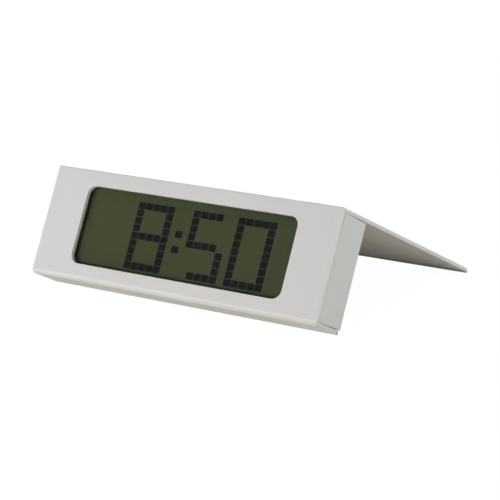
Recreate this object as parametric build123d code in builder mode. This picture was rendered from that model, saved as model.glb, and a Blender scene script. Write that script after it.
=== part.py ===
from build123d import *
import os
from math import atan2, cos, degrees, hypot, radians, sin, tan

# Digital alarm clock: one folded white shell (bottom lip, leaning front plate, long rear leg)
# with a shallow case behind the front plate that holds the display, board and batteries.
# Millimetres. Origin: on the table, under the middle of the clock's overall box.
# +X is the viewer's right, +Y runs to the rear, +Z is up.
# Places on the case are given as x, height up the front plate, and depth behind its face.

os.makedirs("parts", exist_ok=True)

# Shell
width = 160.0  # end to end
front_height = 53.5  # front plate, bottom corner to ridge
lean = 26.0  # front plate, degrees back from upright
lip_setback = 2.25  # lip's rear edge to the case's rear wall
leg_slope = 24.35  # rear leg, degrees down from level
wall = 2.0  # thickness of lip, front plate and leg
bend_radius = 2.4  # outside of the bottom bend
inner_bend_radius = 0.3
ridge_radius = 0.6  # outside of the top fold
front_edge_round = 1.1  # side edges of the front plate
tip_round = 0.4  # upper edge of the leg's tip

# Display window
window_side = 21.1  # from each end of the clock
window_bottom = 8.2  # from the bottom corner
window_top = 7.3  # from the ridge
window_corner = 4.6
window_edge_round = 0.3

# Feet
lip_strip_thickness = 0.7
foot_landing = 0.2  # height of the corner that each foot's flat cuts off
leg_foot_height = 0.7  # front face of the leg's foot strip
leg_foot_setback = 0.1  # from the tip's lower corner
foot_groove = 0.6  # how deep the strip sits in the leg

# Rear case
case_wall = 2.0  # rear and end walls
case_roof = 1.4  # walls under the leg and over the lip
seam_front = 0.12  # over and under the end panels, at their front
seam_rear = 0.55  # the same at the rear
front_seam = 0.08  # end panel to front plate
front_seam_top = 0.3  # the same at the ridge
front_seam_taper = 17.0  # height over which it closes
case_corner = 1.2  # rear upright corners

# Display stack, front to rear
gasket_thickness = 0.4
gasket_show = 0.4  # gasket's edge inside the window
lens_thickness = 0.8
lens_lap_x = 3.5  # past the window's sides
lens_lap_v = 2.8  # past its top and bottom
lens_corner = 2.0
polarizer_thickness = 0.2
glass_thickness = 0.7
glass_lap_x = 2.1  # past the window's sides
glass_lap_v = 2.0  # past its top and bottom
glass_step = 1.6  # rear glass short of the front glass, above and below
crystal_layer = 0.1
guide_thickness = 1.5
reflector_thickness = 0.2
holder_back = 1.0
holder_side = 3.3
holder_rail = 1.0
holder_clearance = 0.15
holder_corner = 1.0
zebra_width = 1.2
zebra_clearance = 0.05
zebra_end_gap = 2.0  # from the board's edge and the glass's end
led_width = 3.0
led_size = 1.4
led_rise = 9.0  # above and below the window's middle
led_lead = 0.4

# Digits: five columns of nine dots
dot_rows = 9
dot_pitch_x = 4.2
dot_gap = 0.3
dot_bottom = 2.15  # lowest dots to the window's bottom
dot_top = 3.75  # highest dots to the window's top
hour_column = -28.4  # centre of each sign's first column
colon_column = -4.2
tens_column = 3.1
units_column = 27.9

# Board
board_thickness = 1.2
board_bay_gap = 4.3  # board's left edge to the battery bay
board_end_gap = 0.5  # board's right edge to the case screws' bosses
board_margin = 0.2  # past the front glass, above and below
board_corner = 1.0
board_screw_drop = 5.8  # right screws, from the front glass's top and bottom
board_boss = 4.4
board_screw_shank = 2.0
board_screw_length = 5.0
board_screw_head = 3.8
board_screw_head_height = 1.2
ear_margin = 1.5  # plastic round a screw hole

# Case screws
case_screw_side = 6.4  # from each end of the clock
case_screw_bottom = 9.7  # from the bottom corner
case_screw_top = 8.8  # from the ridge
case_boss = 6.4
case_boss_length = 10.0
case_tower = 7.0
tower_gap = 0.15  # tower to boss
case_screw_shank = 2.6
case_screw_length = 9.0
case_screw_head = 4.8
case_screw_head_height = 1.6
screw_seat = 2.2  # plastic left under a case screw's head
screw_fit = 0.02  # thread to its hole
screw_clearance = 0.2  # through holes and counterbores
pilot_floor = 0.8  # plastic left below a boss's hole
recess_depth = 0.7
recess_width = 0.6
recess_share = 0.6  # of the head

# Buttons and switches
button_travel = 0.8
button_proud = 0.9
button_radius = 4.0
button_round = 0.4
button_flange = 1.0  # flange beyond the cap, all round
flange_thickness = 1.0
flange_gap = 0.2  # flange to the rear wall
button_clearance = 0.25
button_stem = 1.6
button_row_top = 17.3  # from the ridge
button_columns = {"set": 6.0, "down": 22.0, "up": 38.0}
snooze_x = 22.0
snooze_v = 16.5
snooze_gap = 3.85  # flange to the buzzer's rim
snooze_height = 8.0
tact_size = 6.0
tact_height = 3.4
plunger_radius = 1.75
plunger_proud = 1.0
plunger_clearance = 0.05
plunger_engaged = 1.2  # length that stays in the switch
slider_end = 20.0  # from the clock's right end
slider_travel = 3.0
slider_length = 7.0
slider_height = 4.2
slider_proud = 1.0
slider_stem_length = 4.0
slider_stem_height = 2.8
slide_case_length = 10.0
slide_case_height = 4.6
slide_case_depth = 3.6
slide_case_wall = 0.8
lever_size = 1.6
lever_reach = 3.2
grip_width = 0.6  # ridges under a finger
grip_height = 0.3

# Small parts on the board
blob_x = 2.0
blob_v = 18.0
blob_radius = 6.0
blob_height = 1.8
blob_round = 1.4
crystal_can_inset = 5.9  # from the wires' pads
crystal_can_v = 9.0
crystal_can_radius = 1.1
crystal_can_length = 6.2
crystal_can_round = 0.25
capacitor_inset = 4.4  # from the wires' pads
capacitor_top = 10.5  # from the ridge
capacitor_pitch = 6.5
capacitor_radius = 2.5
capacitor_height = 7.0
resistor_inset = 6.9  # from the wires' pads
resistor_top = 24.5  # from the ridge
resistor_pitch = 3.0
resistor_length = 1.6
resistor_width = 0.8
resistor_height = 0.5

# Batteries: two AAA cells side by side
cell_diameter = 10.5
cell_length = 44.5
cell_nub_length = 1.0
cell_nub_radius = 1.9
cell_sleeve = 0.15
cell_end_rim = 0.6
cell_gap = 0.4
cell_seat = 0.1  # cell to the bay's floor
bay_end = 8.0  # from the clock's left end
bay_bottom = 15.2
bay_side = 0.3  # cell to the bay's side walls
bay_wall = 1.2
bay_floor = 1.2
bay_gap = 0.7  # bay to the display holder
contact_thickness = 0.4
contact_margin = 1.9  # plate smaller than a cell, all told
contact_tab_width = 2.4
contact_tab_reach = 1.4
spring_space = 3.7  # contact plate to a cell's flat end
spring_wire = 0.6
spring_radius = 3.0
spring_tip_radius = 2.2
spring_turns = 3

# Battery door
door_thickness = 1.2
door_ledge = 1.2
door_clearance = 0.2
door_corner = 1.0
hook_width = 6.0
hook_inset = 7.5  # from the bay's ends
hook_thickness = 0.95
hook_clearance = 0.12
hook_side_gap = 0.3
hook_stem = 1.2
latch_width = 11.0
latch_slot = 0.8
latch_length = 6.0
scoop_radius = 5.0
scoop_depth = 1.0
door_rib = 1.2
door_rib_height = 1.0
door_rib_spread = 10.0
door_rib_gap = 0.3  # rib to cell

# Buzzer
buzzer_end = 28.0  # from the clock's right end
buzzer_v = 17.0
buzzer_radius = 9.0
buzzer_clearance = 0.15
buzzer_plate_thickness = 0.3
buzzer_ceramic_radius = 6.5
buzzer_ceramic_thickness = 0.25
buzzer_rim_height = 1.6
buzzer_rim_wall = 1.0
buzzer_seat_width = 1.2
buzzer_seat_depth = 0.5
sound_hole = 1.4
sound_hole_ring = 3.6
sound_holes = 6

# Wires
wire_radius = 0.5
wire_bend = 2.0
wire_land = 5.5  # tab to the board's pad
buzzer_wire_rise = 1.5  # above and below the buzzer's middle
buzzer_pad_reach = 14.0  # from the buzzer's middle
buzzer_wire_depth = 14.0
buzzer_wire_bend = 1.2

# Sizes that follow: window and display stack, then the cells, then the case round them
window_width = width - 2 * window_side
window_height = front_height - window_bottom - window_top
window_v = window_bottom + window_height / 2
lens_width = window_width + 2 * lens_lap_x
lens_height = window_height + 2 * lens_lap_v
glass_width = window_width + 2 * glass_lap_x
front_glass_height = window_height + 2 * glass_lap_v
rear_glass_height = front_glass_height - 2 * glass_step
dot_pitch_v = (window_height - dot_bottom - dot_top + dot_gap) / dot_rows
lowest_row = window_bottom + dot_bottom + (dot_pitch_v - dot_gap) / 2

lens_front = wall + gasket_thickness
front_polarizer_front = lens_front + lens_thickness
front_glass_front = front_polarizer_front + polarizer_thickness
crystal_front = front_glass_front + glass_thickness
rear_glass_front = crystal_front + crystal_layer
rear_polarizer_front = rear_glass_front + glass_thickness
guide_front = rear_polarizer_front + polarizer_thickness
reflector_front = guide_front + guide_thickness
holder_back_front = reflector_front + reflector_thickness
board_front = holder_back_front + holder_back
board_rear = board_front + board_thickness

cell_radius = cell_diameter / 2
bay_length = cell_length + spring_space + 2 * contact_thickness
bay_left = bay_end - width / 2
bay_right = bay_left + bay_length
bay_x = (bay_left + bay_right) / 2
bay_height = 2 * cell_diameter + cell_gap + 2 * bay_side
bay_v = bay_bottom + bay_height / 2
bay_front = board_front + bay_gap
lower_cell_v = bay_bottom + bay_side + cell_radius
upper_cell_v = lower_cell_v + cell_diameter + cell_gap
cell_depth = bay_front + bay_floor + cell_seat + cell_radius
contact_size = cell_diameter - contact_margin

door_inner = cell_depth + cell_radius + door_rib_gap + door_rib_height
case_depth = door_inner + door_thickness  # front face to the rear wall's outer face
lip_depth = case_depth - lip_setback

# Directions and places that follow
into = Vector(0, cos(radians(lean)), -sin(radians(lean)))
rise = Vector(0, sin(radians(lean)), cos(radians(lean)))
open_angle = lean - leg_slope  # the leg and the front plate are this much off square
leg_run = Vector(cos(radians(open_angle)), sin(radians(open_angle)))
leg_square = Vector(-sin(radians(open_angle)), cos(radians(open_angle)))


def round_loss(radius, angle):
    """How far a rounded square corner, turned by the angle, falls short of the sharp one."""
    return radius * (cos(radians(angle)) + sin(radians(angle)) - 1)


corner_z = lip_depth * sin(radians(lean)) - foot_landing
ridge_z = corner_z + front_height * cos(radians(lean))
ridge_y = front_height * sin(radians(lean))
leg_drop = ridge_z - wall * cos(radians(leg_slope)) - foot_landing
leg_length = leg_drop / sin(radians(leg_slope))
tip_y = ridge_y + leg_length * cos(radians(leg_slope))
front_end = round_loss(bend_radius, lean)
rear_end = tip_y - round_loss(tip_round, leg_slope)
corner = Vector(0, -(front_end + rear_end) / 2, corner_z)


def facing(depth):
    """Plane behind the front face by the depth: x right, y up the plate, out to the viewer."""
    return Plane(origin=corner + into * depth, x_dir=(1, 0, 0), z_dir=into * -1)


def across(x):
    """Plane across the clock at x: local x runs into the case, local y up the plate."""
    return Plane(origin=corner + Vector(x, 0, 0), x_dir=into, z_dir=(1, 0, 0))


def place(x, v, depth):
    """Point at x, height v up the plate and a depth behind its face."""
    return corner + Vector(x, 0, 0) + rise * v + into * depth


def depth_of(shape):
    """Depth of a shape's centre behind the front face."""
    return across(0).to_local_coords(shape.center()).X


def height_of(shape):
    """Height of a shape's centre up the front plate."""
    return across(0).to_local_coords(shape.center()).Y


def leg_under(depth):
    """Height up the plate of the leg's underside at a depth behind the front face."""
    return front_height - wall / cos(radians(open_angle)) + depth * tan(radians(open_angle))


def along_leg(run, square):
    """Point in the across plane: run along the leg's top from the ridge, square to it."""
    point = Vector(0, front_height) + leg_run * run + leg_square * square
    return (point.X, point.Y)


case_inner = case_depth - case_wall
case_floor = wall + seam_rear + case_roof
end_x = width / 2 - case_wall
boss_end = wall + case_boss_length
tower_end = boss_end + tower_gap
screw_seat_depth = tower_end + screw_seat

case_screw_x = width / 2 - case_screw_side
case_screw_rows = (case_screw_bottom, front_height - case_screw_top)
case_screw_spots = [(x, v) for x in (-case_screw_x, case_screw_x) for v in case_screw_rows]
ear_radius = board_screw_shank / 2 + screw_clearance + ear_margin
board_left = bay_right + bay_wall + board_bay_gap
board_right = case_screw_x - case_boss / 2 - board_end_gap
board_height = front_glass_height + 2 * board_margin
board_screw_x = board_right - ear_radius
board_screw_rise = front_glass_height / 2 - board_screw_drop
right_screw_rows = (window_v - board_screw_rise, window_v + board_screw_rise)
bay_under = bay_bottom - bay_wall
bay_over = bay_bottom + bay_height + bay_wall
roof_v = front_height - wall - seam_rear - case_roof
left_screw_rows = (bay_under - board_screw_head / 2 - screw_clearance, (bay_over + roof_v) / 2)
left_screw_spots = [(-board_screw_x, v) for v in left_screw_rows]
right_screw_spots = [(board_screw_x, v) for v in right_screw_rows]
board_screw_spots = left_screw_spots + right_screw_spots

holder_width = glass_width + 2 * holder_clearance + 2 * holder_side
holder_height = front_glass_height + 2 * holder_clearance + 2 * holder_rail

door_length = bay_length + 2 * door_ledge
door_height = bay_height + 2 * door_ledge
door_bottom = bay_bottom - door_ledge
door_top = door_bottom + door_height
hook_top = case_depth - hypot(case_wall, door_ledge) - hook_clearance
hook_front = hook_top - hook_thickness
hook_spots = (bay_left + hook_inset, bay_right - hook_inset)

flange_rear = case_inner - flange_gap
flange_front = flange_rear - flange_thickness
tact_top = board_rear + tact_height
plunger_top = tact_top + plunger_proud
plunger_bottom = tact_top - plunger_engaged
lever_base = board_rear + slide_case_depth - slide_case_wall
lever_top = board_rear + slide_case_depth + lever_reach
slider_x = width / 2 - slider_end
slide_switch_x = slider_x + slider_travel / 2
button_row = front_height - button_row_top
buzzer_x = width / 2 - buzzer_end
buzzer_pad_x = buzzer_x - buzzer_pad_reach
buzzer_rim_radius = buzzer_radius + buzzer_clearance + buzzer_rim_wall
snooze_end = buzzer_x - buzzer_rim_radius - snooze_gap - button_flange
snooze_length = 2 * (snooze_end - snooze_x)

# Shell: lip, front plate and leg in one moulding
tip_corner_y = corner.Y + tip_y - wall * sin(radians(leg_slope))


def under_tip(back, up):
    """Point in the YZ plane: back from the tip's lower corner, up square to the leg."""
    slope = radians(leg_slope)
    y = tip_corner_y - back + up * sin(slope)
    z = foot_landing + back * tan(slope) + up * cos(slope)
    return (y, z)


foot_back = (leg_foot_height - foot_landing) / tan(radians(leg_slope))
foot_plane = Plane.YZ.offset(-width / 2)

with BuildPart() as front_shell:
    with BuildSketch(across(-width / 2)) as fold:
        with BuildLine():
            Polyline(
                (lip_depth - lip_strip_thickness, 0),
                (0, 0),
                (0, front_height),
                along_leg(leg_length, 0),
                along_leg(leg_length, -wall),
                (wall, leg_under(wall)),
                (wall, wall),
                (lip_depth - lip_strip_thickness, wall),
                close=True,
            )
        make_face()
        fillet(fold.vertices().sort_by_distance((0, 0))[0], bend_radius)
        fillet(fold.vertices().sort_by_distance((0, front_height))[0], ridge_radius)
        fillet(fold.vertices().sort_by_distance(along_leg(leg_length, 0))[0], tip_round)
        fillet(fold.vertices().sort_by_distance((wall, wall))[0], inner_bend_radius)
    extrude(amount=width)

    end_edges = front_shell.edges().filter_by(
        lambda edge: abs(edge.center().X) > width / 2 - wall / 10
    )
    side_edges = end_edges.filter_by(
        lambda edge: depth_of(edge) < bend_radius / 2 and height_of(edge) < leg_under(0)
    )
    fillet(side_edges, front_edge_round)

    with BuildSketch(facing(0)):
        with Locations((0, window_v)):
            RectangleRounded(window_width, window_height, window_corner)
    extrude(amount=-wall, mode=Mode.SUBTRACT)
    window_edges = front_shell.edges().filter_by(
        lambda edge: abs(depth_of(edge)) < wall / 10
        and abs(edge.center().X) < (window_width + wall) / 2
        and abs(height_of(edge) - window_v) < (window_height + wall) / 2
    )
    fillet(window_edges, window_edge_round)

    with BuildSketch(facing(wall / 2)):
        with Locations(*case_screw_spots):
            Circle(case_boss / 2)
    extrude(amount=wall / 2 - boss_end)
    with BuildSketch(facing(boss_end)):
        with Locations(*case_screw_spots):
            Circle(case_screw_shank / 2 + screw_fit)
    extrude(amount=case_boss_length - pilot_floor, mode=Mode.SUBTRACT)

    with BuildSketch(facing(wall / 2)):
        with Locations(*board_screw_spots):
            Circle(board_boss / 2)
    extrude(amount=wall / 2 - holder_back_front)
    with BuildSketch(facing(holder_back_front)):
        with Locations(*board_screw_spots):
            Circle(board_screw_shank / 2 + screw_fit)
    extrude(amount=holder_back_front - wall - pilot_floor, mode=Mode.SUBTRACT)

    with BuildSketch(foot_plane):
        with BuildLine():
            Polyline(
                under_tip(leg_foot_setback, 0),
                under_tip(leg_foot_setback, foot_groove),
                under_tip(foot_back, foot_groove),
                under_tip(foot_back, 0),
                close=True,
            )
        make_face()
    extrude(amount=width, mode=Mode.SUBTRACT)

front_shell.part.label = "front_shell"
export_step(front_shell.part, "parts/front_shell.step")

# Foot strips: soft edges that the clock stands on
with BuildPart() as lip_strip:
    with BuildSketch(across(-width / 2)):
        with Locations((lip_depth - lip_strip_thickness / 2, wall / 2)):
            Rectangle(lip_strip_thickness, wall)
    extrude(amount=width)
    split(bisect_by=Plane.XY, keep=Keep.TOP)

lip_strip.part.label = "lip_strip"
export_step(lip_strip.part, "parts/lip_strip.step")

with BuildPart() as leg_foot:
    with BuildSketch(foot_plane):
        with BuildLine():
            Polyline(
                (under_tip(leg_foot_setback, 0)[0], 0),
                under_tip(leg_foot_setback, 0),
                under_tip(leg_foot_setback, foot_groove),
                under_tip(foot_back, foot_groove),
                under_tip(foot_back, 0),
                (under_tip(foot_back, 0)[0], 0),
                close=True,
            )
        make_face()
    extrude(amount=width)

leg_foot.part.label = "leg_foot"
export_step(leg_foot.part, "parts/leg_foot.step")

# Rear case: rear wall, end panels, battery bay, screw towers and buzzer rim
front_rim = wall + front_seam
bay_opening_height = door_height + 2 * door_clearance

with BuildPart() as rear_case:
    with BuildSketch(across(-width / 2)):
        with BuildLine():
            Polyline(
                (front_rim, wall + seam_front),
                (case_depth, wall + seam_rear),
                (case_depth, leg_under(case_depth) - seam_rear),
                (wall + front_seam_top, leg_under(wall) - seam_front),
                (front_rim, leg_under(wall) - front_seam_taper),
                close=True,
            )
        make_face()
    extrude(amount=width)
    upright_edges = rear_case.edges().filter_by(
        lambda edge: abs(edge.center().X) > width / 2 - wall / 10
        and depth_of(edge) > case_depth - wall / 10
    )
    fillet(upright_edges, case_corner)

    with BuildSketch(across(-end_x)):
        with BuildLine():
            Polyline(
                (0, case_floor),
                (case_inner, case_floor),
                (case_inner, leg_under(case_inner) - seam_rear - case_roof),
                (0, leg_under(0) - seam_rear - case_roof),
                close=True,
            )
        make_face()
    extrude(amount=2 * end_x, mode=Mode.SUBTRACT)

    # Battery bay with its opening, the door's recess, hook slots and finger scoop
    with BuildSketch(facing(bay_front)):
        with Locations((bay_x, bay_v)):
            Rectangle(bay_length + 2 * bay_wall, bay_height + 2 * bay_wall)
    extrude(amount=bay_front - case_depth + door_thickness)
    with BuildSketch(facing(bay_front + bay_floor)):
        with Locations((bay_x, bay_v)):
            Rectangle(bay_length, bay_height)
    extrude(amount=bay_front + bay_floor - case_depth, mode=Mode.SUBTRACT)
    with BuildSketch(facing(door_inner)):
        with Locations((bay_x, bay_v)):
            RectangleRounded(
                door_length + 2 * door_clearance,
                bay_opening_height,
                door_corner + door_clearance,
            )
    extrude(amount=-door_thickness, mode=Mode.SUBTRACT)
    with BuildSketch(facing(case_inner)):
        with Locations(*[(x, bay_bottom - bay_wall / 2) for x in hook_spots]):
            Rectangle(hook_width + 2 * hook_side_gap, bay_wall)
    extrude(amount=case_inner - hook_front + hook_side_gap, mode=Mode.SUBTRACT)
    with BuildSketch(facing(case_depth)):
        with Locations((bay_x, door_top)):
            Circle(scoop_radius)
    extrude(amount=scoop_depth, mode=Mode.SUBTRACT)

    # Slots for the two wired contacts' tabs
    with BuildSketch(across(bay_right)):
        with Locations((cell_depth, lower_cell_v), (cell_depth, upper_cell_v)):
            Rectangle(contact_thickness + 2 * zebra_clearance, contact_tab_width + bay_side)
    extrude(amount=bay_wall, mode=Mode.SUBTRACT)

    # Screw towers
    with BuildSketch(facing(tower_end)):
        with Locations(*case_screw_spots):
            Circle(case_tower / 2)
    extrude(amount=tower_end - case_depth + case_wall / 2)
    with BuildSketch(facing(tower_end)):
        with Locations(*case_screw_spots):
            Circle(case_screw_shank / 2 + screw_clearance)
    extrude(amount=-screw_seat, mode=Mode.SUBTRACT)
    with BuildSketch(facing(case_depth)):
        with Locations(*case_screw_spots):
            Circle(case_screw_head / 2 + screw_clearance)
    extrude(amount=case_depth - screw_seat_depth, mode=Mode.SUBTRACT)

    # Button holes and the slider's slot
    with BuildSketch(facing(case_depth)):
        with Locations(*[(x, button_row) for x in button_columns.values()]):
            Circle(button_radius + button_clearance)
        with Locations((snooze_x, snooze_v)):
            SlotOverall(snooze_length + 2 * button_clearance, snooze_height + 2 * button_clearance)
        with Locations((slide_switch_x, button_row)):
            Rectangle(
                slider_stem_length + slider_travel + 2 * button_clearance,
                slider_stem_height + 2 * button_clearance,
            )
    extrude(amount=case_wall, mode=Mode.SUBTRACT)

    # Buzzer rim with its seat, and the sound holes
    with BuildSketch(facing(case_inner - buzzer_rim_height)):
        with Locations((buzzer_x, buzzer_v)):
            Circle(buzzer_rim_radius)
            Circle(buzzer_radius - buzzer_seat_width, mode=Mode.SUBTRACT)
    extrude(amount=-buzzer_rim_height - case_wall / 2)
    with BuildSketch(facing(case_inner - buzzer_rim_height)):
        with Locations((buzzer_x, buzzer_v)):
            Circle(buzzer_radius + buzzer_clearance)
    extrude(amount=-buzzer_seat_depth, mode=Mode.SUBTRACT)
    with BuildSketch(facing(case_depth)):
        with Locations((buzzer_x, buzzer_v)):
            Circle(sound_hole / 2)
            with PolarLocations(sound_hole_ring, sound_holes):
                Circle(sound_hole / 2)
    extrude(amount=case_wall, mode=Mode.SUBTRACT)

rear_case.part.label = "rear_case"
export_step(rear_case.part, "parts/rear_case.step")


# Pan-head screws that point to the front, heads resting at the seat's depth
screw_sets = (
    (
        "case_screws",
        ((case_screw_spots, screw_seat_depth),),
        (case_screw_shank, case_screw_length, case_screw_head, case_screw_head_height),
    ),
    (
        "board_screws",
        ((left_screw_spots, board_front), (right_screw_spots, board_rear)),
        (board_screw_shank, board_screw_length, board_screw_head, board_screw_head_height),
    ),
)

for name, groups, (shank, length, head, head_height) in screw_sets:
    recess_length = head * recess_share
    with BuildPart() as screws:
        for spots, seat in groups:
            with BuildSketch(facing(seat)):
                with Locations(*spots):
                    Circle(shank / 2)
            extrude(amount=length)
            with BuildSketch(facing(seat)):
                with Locations(*spots):
                    Circle(head / 2)
            extrude(amount=-head_height)
            with BuildSketch(facing(seat + head_height)):
                with Locations(*spots):
                    Rectangle(recess_length, recess_width)
                    Rectangle(recess_width, recess_length)
            extrude(amount=recess_depth, mode=Mode.SUBTRACT)
    screws.part.label = name
    export_step(screws.part, f"parts/{name}.step")

# Display stack
with BuildPart() as window_gasket:
    with BuildSketch(facing(wall)):
        with Locations((0, window_v)):
            RectangleRounded(lens_width, lens_height, lens_corner)
            RectangleRounded(
                window_width - 2 * gasket_show,
                window_height - 2 * gasket_show,
                window_corner - gasket_show,
                mode=Mode.SUBTRACT,
            )
    extrude(amount=-gasket_thickness)

window_gasket.part.label = "window_gasket"
export_step(window_gasket.part, "parts/window_gasket.step")


with BuildPart() as display_lens:
    with BuildSketch(facing(lens_front)):
        with Locations((0, window_v)):
            RectangleRounded(lens_width, lens_height, lens_corner)
    extrude(amount=-lens_thickness)

display_lens.part.label = "display_lens"
export_step(display_lens.part, "parts/display_lens.step")

layers = (
    ("front_polarizer", front_polarizer_front, polarizer_thickness, rear_glass_height),
    ("lcd_front_glass", front_glass_front, glass_thickness, front_glass_height),
    ("lcd_rear_glass", rear_glass_front, glass_thickness, rear_glass_height),
    ("rear_polarizer", rear_polarizer_front, polarizer_thickness, rear_glass_height),
    ("light_guide", guide_front, guide_thickness, rear_glass_height),
    ("reflector_film", reflector_front, reflector_thickness, rear_glass_height),
)

for name, front, thickness, height in layers:
    with BuildPart() as layer:
        with BuildSketch(facing(front)):
            with Locations((0, window_v)):
                Rectangle(glass_width, height)
        extrude(amount=-thickness)
    layer.part.label = name
    export_step(layer.part, f"parts/{name}.step")

# Digits, as dots between the two glasses, top row first
signs = {
    "8": ("#####", "#...#", "#...#", "#...#", "#####", "#...#", "#...#", "#...#", "#####"),
    "5": ("####.", "#....", "#....", "#....", "####.", "....#", "....#", "....#", ".####"),
    "0": ("#####", "#...#", "#...#", "#...#", "#...#", "#...#", "#...#", "#...#", "#####"),
    ":": ("", "", "", "#", "", "#", "", "", ""),
}


def dots_of(sign, first_column):
    """Centres of a sign's dark dots."""
    rows = signs[sign]
    return [
        (first_column + column * dot_pitch_x, lowest_row + (len(rows) - 1 - row) * dot_pitch_v)
        for row, pattern in enumerate(rows)
        for column, mark in enumerate(pattern)
        if mark == "#"
    ]


shown_time = (("8", hour_column), (":", colon_column), ("5", tens_column), ("0", units_column))

with BuildPart() as display_dots:
    with BuildSketch(facing(crystal_front)):
        for sign, first_column in shown_time:
            with Locations(*dots_of(sign, first_column)):
                Rectangle(dot_pitch_x - dot_gap, dot_pitch_v - dot_gap)
    extrude(amount=-crystal_layer)

display_dots.part.label = "display_dots"
export_step(display_dots.part, "parts/display_dots.step")

# Connector strips, from the front glass's bare edges to the board
zebra_left = board_left + zebra_end_gap
zebra_right = glass_width / 2 - zebra_end_gap
zebra_length = zebra_right - zebra_left
zebra_x = (zebra_left + zebra_right) / 2
zebra_rise = rear_glass_height / 2 + holder_clearance + zebra_width / 2

with BuildPart() as upper_zebra:
    with BuildSketch(facing(crystal_front)):
        with Locations((zebra_x, window_v + zebra_rise)):
            Rectangle(zebra_length, zebra_width)
    extrude(amount=crystal_front - board_front)

upper_zebra.part.label = "upper_zebra"
export_step(upper_zebra.part, "parts/upper_zebra.step")

with BuildPart() as lower_zebra:
    with BuildSketch(facing(crystal_front)):
        with Locations((zebra_x, window_v - zebra_rise)):
            Rectangle(zebra_length, zebra_width)
    extrude(amount=crystal_front - board_front)

lower_zebra.part.label = "lower_zebra"
export_step(lower_zebra.part, "parts/lower_zebra.step")

# Holder: tray round the display stack, with four screw ears
led_x = glass_width / 2 + holder_clearance + led_size / 2
led_spots = [(led_x, window_v + s) for s in (-led_rise, led_rise)]

with BuildPart() as lcd_holder:
    with BuildSketch(facing(front_polarizer_front)):
        with Locations((0, window_v)):
            RectangleRounded(holder_width, holder_height, holder_corner)
    extrude(amount=front_polarizer_front - board_front)
    with BuildSketch(facing(front_polarizer_front)):
        with Locations((0, window_v)):
            Rectangle(glass_width + 2 * holder_clearance, front_glass_height + 2 * holder_clearance)
    extrude(amount=front_polarizer_front - crystal_front, mode=Mode.SUBTRACT)
    with BuildSketch(facing(crystal_front)):
        with Locations((0, window_v)):
            Rectangle(glass_width + 2 * holder_clearance, rear_glass_height + 2 * holder_clearance)
    extrude(amount=crystal_front - holder_back_front, mode=Mode.SUBTRACT)
    with BuildSketch(facing(crystal_front)):
        with Locations((zebra_x, window_v - zebra_rise), (zebra_x, window_v + zebra_rise)):
            Rectangle(zebra_length + 2 * zebra_clearance, zebra_width + 2 * zebra_clearance)
        with Locations(*led_spots):
            Rectangle(led_size + 2 * zebra_clearance, led_width + 2 * zebra_clearance)
    extrude(amount=crystal_front - board_front, mode=Mode.SUBTRACT)
    with BuildSketch(facing(holder_back_front)):
        for x, v in board_screw_spots:
            side = 1 if x > 0 else -1
            ear_reach = abs(x) - holder_width / 2 + holder_corner
            with Locations((x, v)):
                Circle(ear_radius)
            with Locations((x - side * ear_reach / 2, v)):
                Rectangle(ear_reach, 2 * ear_radius)
        with Locations(*board_screw_spots):
            Circle(board_screw_shank / 2 + screw_clearance, mode=Mode.SUBTRACT)
    extrude(amount=-holder_back)

lcd_holder.part.label = "lcd_holder"
export_step(lcd_holder.part, "parts/lcd_holder.step")

with BuildPart() as backlight_leds:
    with BuildSketch(facing(guide_front)):
        with Locations(*led_spots):
            Rectangle(led_size, led_width)
    extrude(amount=-led_size)
    with BuildSketch(facing(guide_front + led_size / 2)):
        with Locations(*led_spots):
            with GridLocations(0, led_width / 2, 1, 2):
                Rectangle(led_lead, led_lead)
    extrude(amount=guide_front + led_size / 2 - board_front)

backlight_leds.part.label = "backlight_leds"
export_step(backlight_leds.part, "parts/backlight_leds.step")

# Main board and what is soldered to it
tab_end = bay_right + bay_wall + contact_tab_reach
pad_x = tab_end + wire_land  # column of pads for the battery wires
crystal_can_x = pad_x + crystal_can_inset
capacitor_x = pad_x + capacitor_inset
capacitor_v = front_height - capacitor_top
resistor_spot = (pad_x + resistor_inset, front_height - resistor_top)
board_length = board_right - board_left
board_x = (board_left + board_right) / 2

with BuildPart() as main_board:
    with BuildSketch(facing(board_front)):
        with Locations((board_x, window_v)):
            RectangleRounded(board_length, board_height, board_corner)
        with Locations(*right_screw_spots):
            Circle(board_screw_shank / 2 + screw_clearance, mode=Mode.SUBTRACT)
    extrude(amount=-board_thickness)

main_board.part.label = "main_board"
export_step(main_board.part, "parts/main_board.step")

with BuildPart() as chip_blob:
    with BuildSketch(facing(board_rear)):
        with Locations((blob_x, blob_v)):
            Circle(blob_radius)
    extrude(amount=-blob_height)
    fillet(chip_blob.edges().sort_by(depth_of)[-1], blob_round)

chip_blob.part.label = "chip_blob"
export_step(chip_blob.part, "parts/chip_blob.step")

with BuildPart() as crystal_can:
    with BuildSketch(across(crystal_can_x)):
        with Locations((board_rear + crystal_can_radius, crystal_can_v)):
            Circle(crystal_can_radius)
    extrude(amount=crystal_can_length)
    fillet(crystal_can.edges().sort_by(Axis.X)[-1], crystal_can_round)

crystal_can.part.label = "crystal_can"
export_step(crystal_can.part, "parts/crystal_can.step")

with BuildPart() as capacitors:
    with BuildSketch(facing(board_rear)):
        with Locations((capacitor_x, capacitor_v), (capacitor_x, capacitor_v - capacitor_pitch)):
            Circle(capacitor_radius)
    extrude(amount=-capacitor_height)

capacitors.part.label = "capacitors"
export_step(capacitors.part, "parts/capacitors.step")

with BuildPart() as chip_resistors:
    with BuildSketch(facing(board_rear)):
        with Locations(resistor_spot):
            with GridLocations(resistor_pitch, resistor_pitch, 3, 3):
                Rectangle(resistor_length, resistor_width)
    extrude(amount=-resistor_height)

chip_resistors.part.label = "chip_resistors"
export_step(chip_resistors.part, "parts/chip_resistors.step")

# Push switches: one case for each button, with a plunger that moves with the cap
button_spots = {name: (x, button_row) for name, x in button_columns.items()}
button_spots["snooze"] = (snooze_x, snooze_v)

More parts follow.
